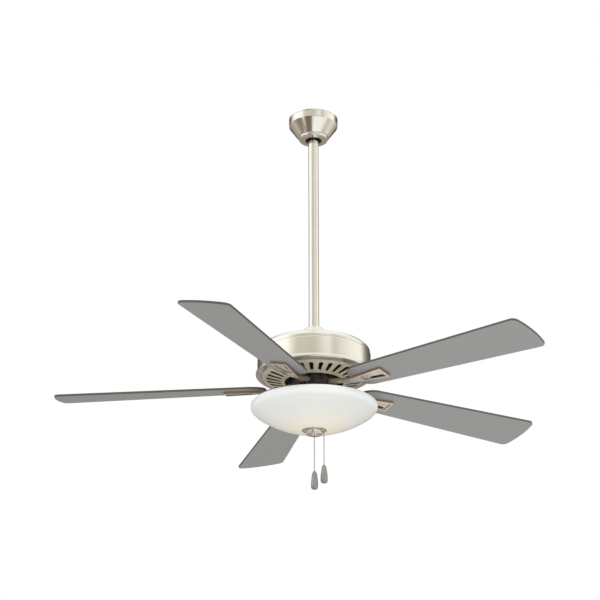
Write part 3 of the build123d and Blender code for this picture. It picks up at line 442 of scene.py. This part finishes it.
def surfaced(name, color, shade, metallic, rough, grain, *, lines=900.0, depth=0.35, wear=None,
             dust=None, spread_rough=0.05, bump_size=0.00004, coat=0.0, inner=None):
    """Material with a two-tone cloud, a grain in roughness and bump, edge wear and dust, and painted shade on inner
    faces.

    wear is an amount and a colour; inner is how far faces that look up count as inner ones, which are painted
    near-black as shade.
    """
    material, tree, shader = new_material(name)
    shader.inputs["Coat Weight"].default_value = coat
    grain_values = {"Lines": lines} if grain == "turned" else {"Size": lines}
    pattern = place_group(tree, grain, **grain_values)
    out = blend_colors(tree, spread(tree, pattern.outputs["Cloud"], 0.35, 0.65), color, shade)
    if wear:
        mask = place_group(tree, "wear", Amount=wear[0]).outputs["Mask"]
        out = blend_colors(tree, mask, out, wear[1])
    if dust:
        mask = place_group(tree, "dust", Amount=dust).outputs["Mask"]
        out = blend_colors(tree, mask, out, DUST)
    roughness = spread(tree, pattern.outputs["Grain"], 0.3, 0.7, rough - spread_rough, rough + spread_rough)
    if inner is None:
        shader.inputs["Metallic"].default_value = metallic
    else:
        # painted shade: inner faces and slot walls turn near-black, matt and non-metal, standing in for the shade
        # inside the housing
        mask = place_group(tree, "inner", Upwards=inner).outputs["Mask"]
        out = blend_colors(tree, mask, out, INNER_PAINTED_SHADE)
        tree.links.new(spread(tree, mask, 0.0, 1.0, metallic, 0.0), shader.inputs["Metallic"])
        roughness = math_node(tree, "MAXIMUM", roughness, math_node(tree, "MULTIPLY", mask, 0.7))
    tree.links.new(out, shader.inputs["Base Color"])
    tree.links.new(roughness, shader.inputs["Roughness"])
    bump(tree, shader, pattern.outputs["Grain"], depth, bump_size)
    return material


def board_grain(tree, angle, lengthwise, across):
    """Noise drawn out along a blade: the mapping turns the blade's length onto X."""
    place = add_node(tree, "ShaderNodeTexCoord").outputs["Object"]
    turn = add_node(tree, "ShaderNodeMapping", vector_type="POINT")
    turn.inputs["Rotation"].default_value = (0, 0, -angle)
    tree.links.new(place, turn.inputs["Vector"])
    stretch = add_node(tree, "ShaderNodeMapping", vector_type="POINT")
    stretch.inputs["Scale"].default_value = (lengthwise, across, across)
    tree.links.new(turn.outputs[0], stretch.inputs["Vector"])
    noise = add_node(tree, "ShaderNodeTexNoise", inputs={"Scale": 1.0, "Detail": 4.0, "Roughness": 0.55})
    tree.links.new(stretch.outputs[0], noise.inputs["Vector"])
    return noise.outputs[0]


def blade_board(number, angle):
    """Silver-grey foil on board, with a faint lengthwise grain and bare brown-grey edges."""
    material, tree, shader = new_material(f"blade_board_{number}")
    fine = board_grain(tree, angle, 9.0, 420.0)
    broad = board_grain(tree, angle, 2.5, 60.0)
    streak = blend_colors(tree, spread(tree, fine, 0.35, 0.65), (0.345, 0.347, 0.345), (0.332, 0.334, 0.332))
    face = blend_colors(tree, spread(tree, broad, 0.35, 0.7), streak, (0.338, 0.340, 0.338))
    geometry = add_node(tree, "ShaderNodeNewGeometry")
    split = add_node(tree, "ShaderNodeSeparateXYZ")
    tree.links.new(geometry.outputs["Normal"], split.inputs[0])
    side = spread(tree, math_node(tree, "ABSOLUTE", split.outputs[2]), 0.93, 0.80)
    edged = blend_colors(tree, side, face, (0.115, 0.098, 0.088))
    dust = place_group(tree, "dust", Amount=0.22).outputs["Mask"]
    tree.links.new(blend_colors(tree, dust, edged, DUST), shader.inputs["Base Color"])
    tree.links.new(spread(tree, fine, 0.3, 0.7, 0.42, 0.55), shader.inputs["Roughness"])
    shader.inputs["Specular IOR Level"].default_value = 0.35
    bump(tree, shader, fine, 0.25, 0.00005)
    return material


def cast_arm(number):
    """Plated casting: bright faces, with painted shade on the recess floor, painted brown reflection and shade on
    its steep sides, and a slot painted dark as shade.
    """
    material, tree, shader = new_material(f"cast_arm_{number}")
    along, across, below, underside = blade_axes(number)
    origin_z = (underside - BLADE_THICK / 2) / below.z
    values = {**ARM_SLOT, "Slot Along": ARM_SLOT["Slot Along"] + origin_z * along.z,
              "Slot Across": ARM_SLOT["Slot Across"] + origin_z * across.z,
              "Along": along, "Across": across, "Below": below, "Underside": underside}
    arm = place_group(tree, "arm", **values)
    pattern = place_group(tree, "cast", Size=500.0)
    plate = blend_colors(tree, spread(tree, pattern.outputs["Cloud"], 0.2, 0.8),
                         (0.97, 0.935, 0.86), (0.92, 0.87, 0.78))
    # painted shade: the recess floor is darker than the plate's faces
    floor = blend_colors(tree, arm.outputs["Recess"], plate, (0.80, 0.75, 0.65))
    # painted reflection and shade: steep sides turn brown
    side_painted_shade = blend_colors(tree, arm.outputs["Side"], floor, (0.34, 0.235, 0.165))
    # painted shade: the slot is near-black, standing in for the shadow inside it
    dark = blend_colors(tree, arm.outputs["Slot"], side_painted_shade, (0.035, 0.026, 0.020))
    tree.links.new(dark, shader.inputs["Base Color"])
    tree.links.new(spread(tree, arm.outputs["Slot"], 0.0, 1.0, 0.45, 0.0), shader.inputs["Metallic"])
    tree.links.new(spread(tree, pattern.outputs["Grain"], 0.3, 0.7, 0.24, 0.30), shader.inputs["Roughness"])
    bump(tree, shader, pattern.outputs["Grain"], 0.06, 0.00002)
    return material


def opal_glass():
    """Milky glass with a painted glow, yellowish where the lamps stand and faint all over, and a paler lip, partly
    its clearer glass and partly painted light.
    """
    material, tree, shader = new_material("opal_glass")
    place = add_node(tree, "ShaderNodeTexCoord").outputs["Object"]
    split = add_node(tree, "ShaderNodeSeparateXYZ")
    tree.links.new(place, split.inputs[0])
    x, y, z = split.outputs
    reach = math_node(tree, "SQRT", math_node(tree, "ADD", math_node(tree, "MULTIPLY", x, x),
                                              math_node(tree, "MULTIPLY", y, y)))
    cloud = add_node(tree, "ShaderNodeTexNoise", inputs={"Scale": 9.0, "Detail": 3.0})
    tree.links.new(place, cloud.inputs["Vector"])
    wavy = math_node(tree, "ADD", reach, spread(tree, cloud.outputs[0], 0.3, 0.7, -0.012, 0.012))
    # painted light: a yellowish glow in the base colour and emission near the axis, standing in for the lamps' light
    # through the glass
    painted_lamp_glow = spread(tree, wavy, 0.025, 0.125, 1.0, 0.0)
    # paler lip: partly the clearer glass of the rim, partly painted light
    lip = spread(tree, z, BOWL_HIGH - 0.019, BOWL_HIGH - 0.011)
    body = blend_colors(tree, painted_lamp_glow, (0.66, 0.665, 0.65), (0.70, 0.66, 0.57))
    tree.links.new(blend_colors(tree, lip, body, (0.74, 0.76, 0.75)), shader.inputs["Base Color"])
    # painted glow: emission on the dish, faint all over and stronger near the axis, though the dish is no lamp
    glow = blend_colors(tree, painted_lamp_glow, (0.27, 0.272, 0.262), (0.46, 0.39, 0.28))
    tree.links.new(glow, shader.inputs["Emission Color"])
    shader.inputs["Emission Strength"].default_value = 0.6
    shader.inputs["Coat Weight"].default_value = 0.25
    shader.inputs["Coat Roughness"].default_value = 0.12
    fine = add_node(tree, "ShaderNodeTexNoise", inputs={"Scale": 260.0, "Detail": 2.0})
    tree.links.new(place, fine.inputs["Vector"])
    tree.links.new(spread(tree, fine.outputs[0], 0.3, 0.7, 0.30, 0.34), shader.inputs["Roughness"])
    bump(tree, shader, cloud.outputs[0], 0.06, 0.0003)
    return material


def lamp_envelope():
    """Frosted candle lamp, with a metal screw base told apart by its distance from the axis."""
    material, tree, shader = new_material("lamp_envelope")
    place = add_node(tree, "ShaderNodeTexCoord").outputs["Object"]
    split = add_node(tree, "ShaderNodeSeparateXYZ")
    tree.links.new(place, split.inputs[0])
    reach = math_node(tree, "ABSOLUTE", split.outputs[0])
    glass = spread(tree, reach, 0.0722, 0.0728)
    color = blend_colors(tree, glass, (0.62, 0.60, 0.55), (0.92, 0.90, 0.84))
    tree.links.new(color, shader.inputs["Base Color"])
    tree.links.new(spread(tree, glass, 0.0, 1.0, 1.0, 0.0), shader.inputs["Metallic"])
    frost = add_node(tree, "ShaderNodeTexNoise", inputs={"Scale": 500.0, "Detail": 2.0})
    tree.links.new(place, frost.inputs["Vector"])
    tree.links.new(spread(tree, frost.outputs[0], 0.3, 0.7, 0.25, 0.4), shader.inputs["Roughness"])
    tree.links.new(blend_colors(tree, glass, (0.0, 0.0, 0.0), (0.9, 0.78, 0.55)), shader.inputs["Emission Color"])
    shader.inputs["Emission Strength"].default_value = 0.8
    bump(tree, shader, frost.outputs[0], 0.1, 0.00005)
    return material


NICKEL = (0.88, 0.86, 0.79)
NICKEL_SHADE = (0.85, 0.825, 0.75)
MATERIALS = {
    # covers given inner paint their inner faces near-black as shade
    "nickel": surfaced("nickel", NICKEL, NICKEL_SHADE, 1.0, 0.15, "turned", lines=2600.0, depth=0.05,
                       spread_rough=0.03, bump_size=0.00002, wear=(0.35, (0.93, 0.91, 0.86)), dust=0.10,
                       inner=0.0),
    "dome_nickel": surfaced("dome_nickel", NICKEL, NICKEL_SHADE, 1.0, 0.20, "turned", lines=2600.0,
                            depth=0.05, spread_rough=0.03, bump_size=0.00002,
                            wear=(0.35, (0.93, 0.91, 0.86)), dust=0.10, inner=-1.0),
    "satin_nickel": surfaced("satin_nickel", NICKEL, NICKEL_SHADE, 1.0, 0.20, "turned", lines=2600.0,
                             depth=0.05, spread_rough=0.03, bump_size=0.00002,
                             wear=(0.35, (0.93, 0.91, 0.86)), dust=0.10, inner=0.0),
    "cast_vent": surfaced("cast_vent", (0.96, 0.87, 0.72), (0.88, 0.78, 0.62), 0.3, 0.30, "cast",
                          lines=500.0, depth=0.2, wear=(0.6, (0.95, 0.92, 0.85)), inner=1.0),
    "polished_nickel": surfaced("polished_nickel", (0.93, 0.915, 0.87), (0.86, 0.83, 0.77), 0.8, 0.07,
                                "turned", lines=2600.0, depth=0.04, spread_rough=0.02),
    "nickel_screws": surfaced("nickel_screws", NICKEL, (0.55, 0.53, 0.50), 1.0, 0.25, "cast",
                              lines=900.0, wear=(0.5, (0.85, 0.84, 0.80))),
    "zinc_steel": surfaced("zinc_steel", (0.62, 0.63, 0.62), (0.52, 0.53, 0.50), 1.0, 0.38, "cast",
                           lines=160.0, wear=(0.4, (0.75, 0.75, 0.74)), dust=0.25),
    "ball_nylon": surfaced("ball_nylon", (0.030, 0.030, 0.031), (0.045, 0.045, 0.045), 0.0, 0.40,
                           "turned", lines=700.0, depth=0.4),
    "plain_steel": surfaced("plain_steel", (0.56, 0.56, 0.56), (0.46, 0.46, 0.47), 1.0, 0.32, "turned",
                            lines=900.0, wear=(0.4, (0.75, 0.75, 0.75))),
    "dark_steel": surfaced("dark_steel", (0.055, 0.055, 0.058), (0.035, 0.035, 0.036), 0.9, 0.42, "cast",
                           wear=(0.6, (0.30, 0.30, 0.30))),
    "cast_metal": surfaced("cast_metal", (0.30, 0.30, 0.31), (0.22, 0.22, 0.22), 0.9, 0.55, "cast",
                           lines=350.0, depth=0.7, bump_size=0.0002),
    "lamination": surfaced("lamination", (0.20, 0.20, 0.21), (0.13, 0.13, 0.135), 0.8, 0.50, "turned",
                           lines=2200.0, depth=0.8, bump_size=0.0001),
    "copper": surfaced("copper", (0.52, 0.20, 0.075), (0.38, 0.13, 0.05), 0.9, 0.33, "turned",
                       lines=1100.0, depth=0.9, bump_size=0.0002, coat=0.4),
    "bearing_steel": surfaced("bearing_steel", (0.70, 0.70, 0.71), (0.62, 0.62, 0.63), 1.0, 0.12,
                              "turned", lines=2500.0, depth=0.1, spread_rough=0.04),
    "rotor_grey": surfaced("rotor_grey", (0.40, 0.40, 0.41), (0.31, 0.31, 0.32), 0.85, 0.48, "cast",
                           lines=420.0, depth=0.6, bump_size=0.00015, dust=0.3),
    "black_paint": surfaced("black_paint", (0.008, 0.0075, 0.007), (0.015, 0.014, 0.013), 0.0, 0.48, "cast",
                            lines=900.0, depth=0.4, wear=(0.35, (0.16, 0.15, 0.14))),
    "switch_plastic": surfaced("switch_plastic", (0.62, 0.60, 0.52), (0.55, 0.53, 0.46), 0.0, 0.48, "cast",
                               lines=1200.0, depth=0.3),
    "black_plastic": surfaced("black_plastic", (0.022, 0.022, 0.023), (0.032, 0.032, 0.032), 0.0, 0.38,
                              "cast", lines=1400.0, depth=0.35),
    "white_paint": surfaced("white_paint", (0.78, 0.78, 0.76), (0.72, 0.72, 0.69), 0.0, 0.36, "cast",
                            lines=260.0, depth=0.25, wear=(0.25, (0.5, 0.5, 0.49)), dust=0.35, coat=0.3),
    "holder_plastic": surfaced("holder_plastic", (0.72, 0.70, 0.62), (0.66, 0.63, 0.55), 0.0, 0.45, "cast",
                               lines=1100.0, depth=0.3),
    "rubber": surfaced("rubber", (0.028, 0.028, 0.028), (0.042, 0.042, 0.041), 0.0, 0.75, "cast",
                       lines=1500.0, depth=0.6),
    "wire_plastic": surfaced("wire_plastic", (0.035, 0.035, 0.038), (0.050, 0.050, 0.052), 0.0, 0.30,
                             "cast", lines=1200.0, depth=0.2),
    "chain_metal": surfaced("chain_metal", (0.60, 0.57, 0.52), (0.44, 0.42, 0.38), 1.0, 0.20, "cast",
                            lines=1600.0, depth=0.2),
    "fob": surfaced("fob", (0.42, 0.415, 0.40), (0.36, 0.35, 0.335), 0.6, 0.40, "turned", lines=2600.0,
                    depth=0.1, wear=(0.4, (0.58, 0.56, 0.52))),
    "opal_glass": opal_glass(),
    "lamp_glass": lamp_envelope(),
}


def dress(piece, material):
    """Gives a piece one material."""
    piece.data.materials.clear()
    piece.data.materials.append(material)


def dress_cad_nodes():
    """Every CAD node gets the finish of its material slot; each blade has its own grain."""
    slots = {entry["node"]: entry["material_slot"] for entry in frame["record"]["subparts"]}
    for name, node in nodes.items():
        slot = slots[name]
        if slot == "blade_board":
            number = int(name.split("_")[1])
            dress(node, blade_board(number, blade_angle(number)))
        elif name.startswith("blade_arm"):
            dress(node, cast_arm(int(name.split("_")[2])))
        elif name == "vent_ring":
            dress(node, MATERIALS["cast_vent"])
        elif name == "finial":
            dress(node, MATERIALS["polished_nickel"])
        else:
            dress(node, MATERIALS[slot])


# ---------------------------------------------------------------- turned covers
def stand_for(piece, node, body, material):
    """A finished piece rides on a body in place of a CAD node."""
    dress(piece, material)
    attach(piece, body)
    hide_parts(node)
    return piece


def make_canopy():
    """Straight band, a tapering skirt and a stepped ring with a rolled edge round the rod."""
    ring_r, hole_r = CANOPY_R - 0.0261, CANOPY_R - 0.0416
    step = CANOPY_LOW + 0.0078
    rolled = 0.0008
    outline = rounded(
        [(CANOPY_R + rolled, 0.0), (CANOPY_R + rolled, -0.0022), (CANOPY_R, -0.0022), (CANOPY_R, -0.021),
         (ring_r + 0.003, step), (ring_r, step), (ring_r, CANOPY_LOW), (hole_r, CANOPY_LOW)],
        [0.0007, 0.0004, 0.0022, 0.0013, 0.0013, 0.003])
    canopy = lathe("canopy_shell", walled(outline, -SHEET), around=160)
    stand_for(canopy, "ceiling_canopy", "ceiling_mount", MATERIALS["nickel"])


def make_cover():
    """Bell-shaped coupling cover with a rolled edge at its foot."""
    top_r = ROD_R + 0.0007
    outline = rounded(
        [(top_r, COVER_HIGH), (0.019, COVER_HIGH - 0.0025), (0.028, COVER_HIGH - 0.011),
         (0.036, COVER_HIGH - 0.033), (COVER_R, COVER_LOW)],
        [0.004, 0.014, 0.030])
    cover = lathe("coupling_bell", walled(outline, -0.001))
    stand_for(cover, "coupling_cover", "fan_frame", MATERIALS["nickel"])


def make_dome():
    """Shallow dome with a stepped shoulder, closed round the yoke."""
    neck_r = 0.023
    outline = rounded(
        [(neck_r, DOME_HIGH), (0.096, DOME_HIGH), (0.127, DOME_HIGH - 0.005),
         (DOME_R, DOME_HIGH - 0.018), (DOME_R, DOME_LOW)],
        [0.060, 0.022, 0.005])
    dome = lathe("dome_shell", walled(outline, -SHEET), around=192)
    stand_for(dome, "housing_dome", "fan_frame", MATERIALS["dome_nickel"])


def make_band():
    """Side band with an inward ledge, a flared foot and a rolled lip."""
    outline = rounded(
        [(BAND_R - 0.010, BAND_HIGH), (BAND_R, BAND_HIGH), (BAND_R, BAND_HIGH - 0.047),
         (LIP_R, BAND_HIGH - 0.051), (LIP_R, BAND_HIGH - 0.0545), (LIP_R - 0.0126, BAND_LOW)],
        [0.002, 0.004, 0.0017, 0.0017])
    band = lathe("side_band", walled(outline, -SHEET), around=192)
    stand_for(band, "housing_band", "fan_frame", MATERIALS["satin_nickel"])


def make_bowl():
    """Opal dish: rounded lip, stepped shoulder and a shallow body that is part of a sphere."""
    wall, hole_r = 0.004, 0.027
    shoulder_r, shoulder_z = BOWL_R - 0.0095, BOWL_HIGH - 0.0165
    centre_z = (shoulder_r ** 2 - hole_r ** 2 + shoulder_z ** 2 - BOWL_LOW ** 2) / (2 * (shoulder_z - BOWL_LOW))
    sphere_r = math.hypot(hole_r, centre_z - BOWL_LOW)
    outline = rounded(
        [(BOWL_R - wall + 0.0004, BOWL_HIGH), (BOWL_R, BOWL_HIGH), (BOWL_R, BOWL_HIGH - 0.007),
         (shoulder_r + 0.0022, shoulder_z + 0.0012), (shoulder_r, shoulder_z)],
        [0.0018, 0.003, 0.0008])
    start, end = math.asin(shoulder_r / sphere_r), math.asin(hole_r / sphere_r)
    steps = 28
    for step in range(1, steps + 1):
        lean = start + (end - start) * step / steps
        outline.append((sphere_r * math.sin(lean), centre_z - sphere_r * math.cos(lean)))
    bowl = lathe("bowl_glass", walled(outline, -wall), around=192, smooth=50)
    stand_for(bowl, "glass_bowl", "fan_frame", MATERIALS["opal_glass"])


# ---------------------------------------------------------------- pull chains
def chain_route(name, points):
    """Smooth line of a chain as points, read from a NURBS curve."""
    curve = bpy.data.curves.new(name, "CURVE")
    curve.dimensions = "3D"
    spline = curve.splines.new("NURBS")
    spline.points.add(len(points) - 1)
    for control, point in zip(spline.points, points):
        control.co = (*point, 1.0)
    spline.order_u = 3
    spline.use_endpoint_u = True
    spline.resolution_u = 12
    holder = bpy.data.objects.new(name, curve)
    mesh = bpy.data.meshes.new_from_object(holder)
    route = [v.co.copy() for v in mesh.vertices]
    bpy.data.objects.remove(holder)
    bpy.data.meshes.remove(mesh)
    return route


def along(route, distance):
    """Point on a route at a distance from its start."""
    for start, end in zip(route, route[1:]):
        span = (end - start).length
        if distance <= span:
            return start.lerp(end, distance / max(span, 1e-9))
        distance -= span
    return route[-1]


def make_chain(name, body, inner_body):
    """Beads strung along the chain's route, with a short wire between each pair."""
    low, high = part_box(f"{name}_chain")
    middle = (low + high) / 2
    bead_r = (high.x - low.x) / 2
    exit_point = Vector((middle.x, middle.y, high.z - bead_r))
    fob_top = Vector((middle.x, middle.y, low.z))
    control = [exit_point.lerp(fob_top, share) for share in (0, 0.25, 0.5, 0.75, 1)]
    route = chain_route(f"{name}_route", control)
    length = sum((b - a).length for a, b in zip(route, route[1:]))
    count = round(length / 0.0042)
    pitch = (length - bead_r) / count
    select_none()
    bpy.ops.mesh.primitive_uv_sphere_add(segments=16, ring_count=10, radius=bead_r, location=exit_point)
    first = bpy.context.object
    bpy.ops.object.mode_set(mode="EDIT")
    bpy.ops.mesh.select_all(action="SELECT")
    bpy.ops.transform.resize(value=(1, 1, 0.94), center_override=exit_point)
    bpy.ops.object.mode_set(mode="OBJECT")
    settle(first, 60)
    beads = [first]
    for number in range(1, count + 1):
        bead = first.copy()
        bead.data = first.data.copy()
        bpy.context.scene.collection.objects.link(bead)
        bead.location = along(route, number * pitch) - exit_point
        beads.append(bead)
    wire_r = bead_r * 0.28
    wire = lathe(f"{name}_wire", [(0, fob_top.z), (wire_r, fob_top.z), (wire_r, exit_point.z),
                                  (0, exit_point.z)], around=10, x=middle.x, y=middle.y)
    chain = join(f"{name}_bead_chain", beads + [wire])
    settle(chain, 60)
    stand_for(chain, f"{name}_chain", body, MATERIALS["chain_metal"])
    return chain, route, exit_point, length, bead_r * 2


def smooth_line(points, steps=6):
    """Smooth line through points: a Catmull-Rom curve."""
    ends = [points[0], *points, points[-1]]
    line = [points[0]]
    for before, start, end, after in zip(ends, ends[1:], ends[2:], ends[3:]):
        for step in range(1, steps + 1):
            t = step / steps
            line.append(tuple(
                0.5 * (2 * b + (c - a) * t + (2 * a - 5 * b + 4 * c - d) * t ** 2 + (3 * b - a - 3 * c + d) * t ** 3)
                for a, b, c, d in zip(before, start, end, after)))
    return line


def make_fob(name, body):
    """Turned drop: small collar for the chain, rounded shoulders, full body, broad rounded foot."""
    low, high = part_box(f"{name}_fob")
    middle = (low + high) / 2
    full_r, top = (high.x - low.x) / 2, high.z
    collar = [(0.0, top), (0.0022, top), (0.0026, top - 0.0005), (0.0026, top - 0.0013), (0.0022, top - 0.0016)]
    body_line = smooth_line([
        (0.0024, top - 0.0018), (full_r * 0.52, top - 0.0030), (full_r * 0.64, top - 0.0065),
        (full_r * 0.79, top - 0.0150), (full_r * 0.92, top - 0.0260), (full_r * 0.985, low.z + 0.0120),
        (full_r * 0.97, low.z + 0.0065), (full_r * 0.80, low.z + 0.0022), (full_r * 0.40, low.z + 0.0003)])
    fob = lathe(f"{name}_drop", collar + body_line + [(0.0, low.z)], around=48, x=middle.x, y=middle.y,
                smooth=50)
    return stand_for(fob, f"{name}_fob", body, MATERIALS["fob"])


def make_pull(name):
    """One pull chain with its fob."""
    body = f"{name}_chain_lower"
    chain, route, exit_point, length, diameter = make_chain(name, body, f"{name}_chain_upper")
    fob = make_fob(name, body)


# ---------------------------------------------------------------- room, light and camera
def make_floor():
    """Plain pale floor well below the fan."""
    select_none()
    bpy.ops.mesh.primitive_plane_add(size=60, location=(0, 0, -FAN_DROP - 3.6))
    floor = bpy.context.object
    floor.name = "floor"
    material, tree, shader = new_material("pale_floor")
    shader.inputs["Base Color"].default_value = (0.85, 0.85, 0.85, 1)
    shader.inputs["Roughness"].default_value = 0.8
    dress(floor, material)
    floor.visible_diffuse = False
    floor.visible_glossy = False


def add_area(name, location, target, size, power, color=(1, 1, 1)):
    """Soft area light aimed at a point."""
    light = bpy.data.lights.new(name, "AREA")
    light.shape = "RECTANGLE"
    light.size, light.size_y = size
    light.energy = power
    light.color = color
    lamp = bpy.data.objects.new(name, light)
    lamp.location = location
    lamp.rotation_euler = (Vector(target) - Vector(location)).to_track_quat("-Z", "Y").to_euler()
    lamp.visible_glossy = False
    bpy.context.scene.collection.objects.link(lamp)


def make_lights():
    """Large soft panels left, right, below and above, weak beside the light of the room."""
    middle = (0, 0, -0.7)
    add_area("left_panel", (-3.2, -2.2, -0.6), middle, (1.2, 3.0), 9)
    add_area("right_panel", (3.0, -2.6, -0.4), middle, (1.6, 3.0), 12)
    add_area("front_panel", (0.3, -4.6, -2.9), middle, (3.0, 1.2), 45)
    add_area("top_panel", (0, 0.6, 1.9), middle, (3.5, 3.5), 10)


def color_ramp(tree, value, stops):
    """Color Ramp node from a socket, with (position, colour) stops."""
    node = add_node(tree, "ShaderNodeValToRGB")
    elements = node.color_ramp.elements
    while len(elements) < len(stops):
        elements.new(1.0)
    for element, (position, color) in zip(elements, stops):
        element.position = position
        element.color = (*color, 1)
    tree.links.new(value, node.inputs[0])
    return node.outputs[0]


def make_world():
    """White to the camera, an even pale room to matt surfaces, a studio of panels to glossy ones."""
    world = bpy.data.worlds.new("room")
    bpy.context.scene.world = world
    world.use_nodes = True
    tree = world.node_tree
    tree.nodes.clear()
    output = add_node(tree, "ShaderNodeOutputWorld")
    split = add_node(tree, "ShaderNodeSeparateXYZ")
    tree.links.new(add_node(tree, "ShaderNodeTexCoord").outputs["Generated"], split.inputs[0])
    x, y, z = split.outputs
    turn = math_node(tree, "ARCTAN2", x, math_node(tree, "MULTIPLY", y, -1.0))
    walls = color_ramp(tree, spread(tree, turn, -math.pi, math.pi), [
        (0.00, (0.10, 0.09, 0.075)), (0.12, (0.14, 0.12, 0.10)), (0.17, (0.75, 0.71, 0.62)),
        (0.24, (1.35, 1.33, 1.28)), (0.33, (1.30, 1.28, 1.22)), (0.375, (0.80, 0.77, 0.69)),
        (0.405, (0.62, 0.59, 0.51)), (0.445, (0.66, 0.64, 0.56)), (0.462, (0.61, 0.585, 0.51)),
        (0.51, (0.62, 0.595, 0.52)), (0.555, (0.86, 0.83, 0.76)), (0.585, (0.96, 0.93, 0.87)),
        (0.615, (0.60, 0.57, 0.50)), (0.65, (0.82, 0.79, 0.72)), (0.74, (1.02, 1.00, 0.93)),
        (0.81, (1.12, 1.10, 1.02)), (0.845, (0.35, 0.32, 0.28)), (0.90, (0.10, 0.09, 0.075)),
        (1.00, (0.10, 0.09, 0.075))])
    low = color_ramp(tree, spread(tree, turn, -math.pi, math.pi), [
        (0.00, (0.32, 0.285, 0.235)), (0.14, (0.40, 0.36, 0.30)), (0.20, (0.55, 0.51, 0.44)),
        (0.28, (0.22, 0.20, 0.17)), (0.335, (0.32, 0.30, 0.26)), (0.355, (1.20, 1.18, 1.12)),
        (0.375, (0.28, 0.26, 0.22)), (0.43, (0.12, 0.11, 0.10)), (0.48, (0.32, 0.30, 0.26)),
        (0.50, (0.55, 0.53, 0.48)), (0.53, (0.36, 0.34, 0.30)), (0.57, (0.26, 0.24, 0.21)),
        (0.62, (0.50, 0.48, 0.43)), (0.66, (1.10, 1.08, 1.02)), (0.72, (0.60, 0.57, 0.50)),
        (0.79, (0.85, 0.82, 0.76)), (0.87, (0.45, 0.41, 0.35)), (1.00, (0.32, 0.285, 0.235))])
    nadir = color_ramp(tree, spread(tree, turn, -math.pi, math.pi), [
        (0.00, (0.85, 0.84, 0.80)), (0.06, (0.14, 0.12, 0.10)), (0.14, (0.17, 0.14, 0.12)),
        (0.18, (1.10, 1.09, 1.05)), (0.23, (0.20, 0.17, 0.14)), (0.30, (0.90, 0.88, 0.83)),
        (0.34, (0.25, 0.17, 0.125)), (0.42, (0.22, 0.15, 0.11)), (0.47, (0.20, 0.15, 0.12)),
        (0.52, (1.00, 1.00, 0.98)), (0.58, (1.10, 1.10, 1.08)), (0.62, (0.27, 0.18, 0.13)),
        (0.70, (0.24, 0.16, 0.12)), (0.78, (0.92, 0.90, 0.84)), (0.84, (0.20, 0.17, 0.14)),
        (0.93, (0.25, 0.21, 0.17)), (1.00, (0.85, 0.84, 0.80))])
    ground = blend_colors(tree, spread(tree, z, -0.66, -0.54), nadir, low)
    near = add_node(tree, "ShaderNodeVectorMath", operation="DOT_PRODUCT")
    near.inputs[1].default_value = (0.308, -0.533, -0.788)
    tree.links.new(add_node(tree, "ShaderNodeTexCoord").outputs["Generated"], near.inputs[0])
    table = spread(tree, near.outputs["Value"], 0.86, 0.93)
    ground = blend_colors(tree, table, ground, (1.00, 1.03, 1.06))
    studio = blend_colors(tree, spread(tree, z, 0.03, 0.16), ground, walls)
    ceiling = spread(tree, z, 0.50, 0.72)
    studio = blend_colors(tree, ceiling, studio, (1.05, 1.05, 1.03))
    glossy = add_node(tree, "ShaderNodeBackground", inputs={"Strength": 1.0})
    tree.links.new(studio, glossy.inputs[0])
    pale = color_ramp(tree, spread(tree, z, -1.0, 1.0), [
        (0.0, (0.92, 0.92, 0.91)), (0.5, (0.86, 0.86, 0.85)), (1.0, (0.90, 0.905, 0.91))])
    room = add_node(tree, "ShaderNodeBackground", inputs={"Strength": 0.98})
    tree.links.new(pale, room.inputs[0])
    white = add_node(tree, "ShaderNodeBackground", inputs={"Color": (1, 1, 1, 1), "Strength": 1.0})
    rays = add_node(tree, "ShaderNodeLightPath")
    matt_or_glossy = add_node(tree, "ShaderNodeMixShader")
    tree.links.new(rays.outputs["Is Glossy Ray"], matt_or_glossy.inputs[0])
    tree.links.new(room.outputs[0], matt_or_glossy.inputs[1])
    tree.links.new(glossy.outputs[0], matt_or_glossy.inputs[2])
    seen = add_node(tree, "ShaderNodeMixShader")
    tree.links.new(rays.outputs["Is Camera Ray"], seen.inputs[0])
    tree.links.new(matt_or_glossy.outputs[0], seen.inputs[1])
    tree.links.new(white.outputs[0], seen.inputs[2])
    tree.links.new(seen.outputs[0], output.inputs[0])


def make_camera():
    """Camera below and in front of the fan, looking up at it."""
    data = bpy.data.cameras.new("camera")
    data.sensor_width = 36
    data.lens = 104.3
    data.clip_end = 200
    camera = bpy.data.objects.new("camera", data)
    camera.location = (-0.0359, -4.1562, -2.2206)
    camera.rotation_euler = (math.radians(90 + 22.208), 0, 0)
    bpy.context.scene.collection.objects.link(camera)
    bpy.context.scene.camera = camera


def main():
    dress_cad_nodes()
    make_camera()
    make_pull("speed")
    make_pull("light")
    make_canopy()
    make_cover()
    make_dome()
    make_band()
    make_bowl()
    make_floor()
    make_world()
    make_lights()
    bpy.context.scene.view_settings.view_transform = "Standard"


main()
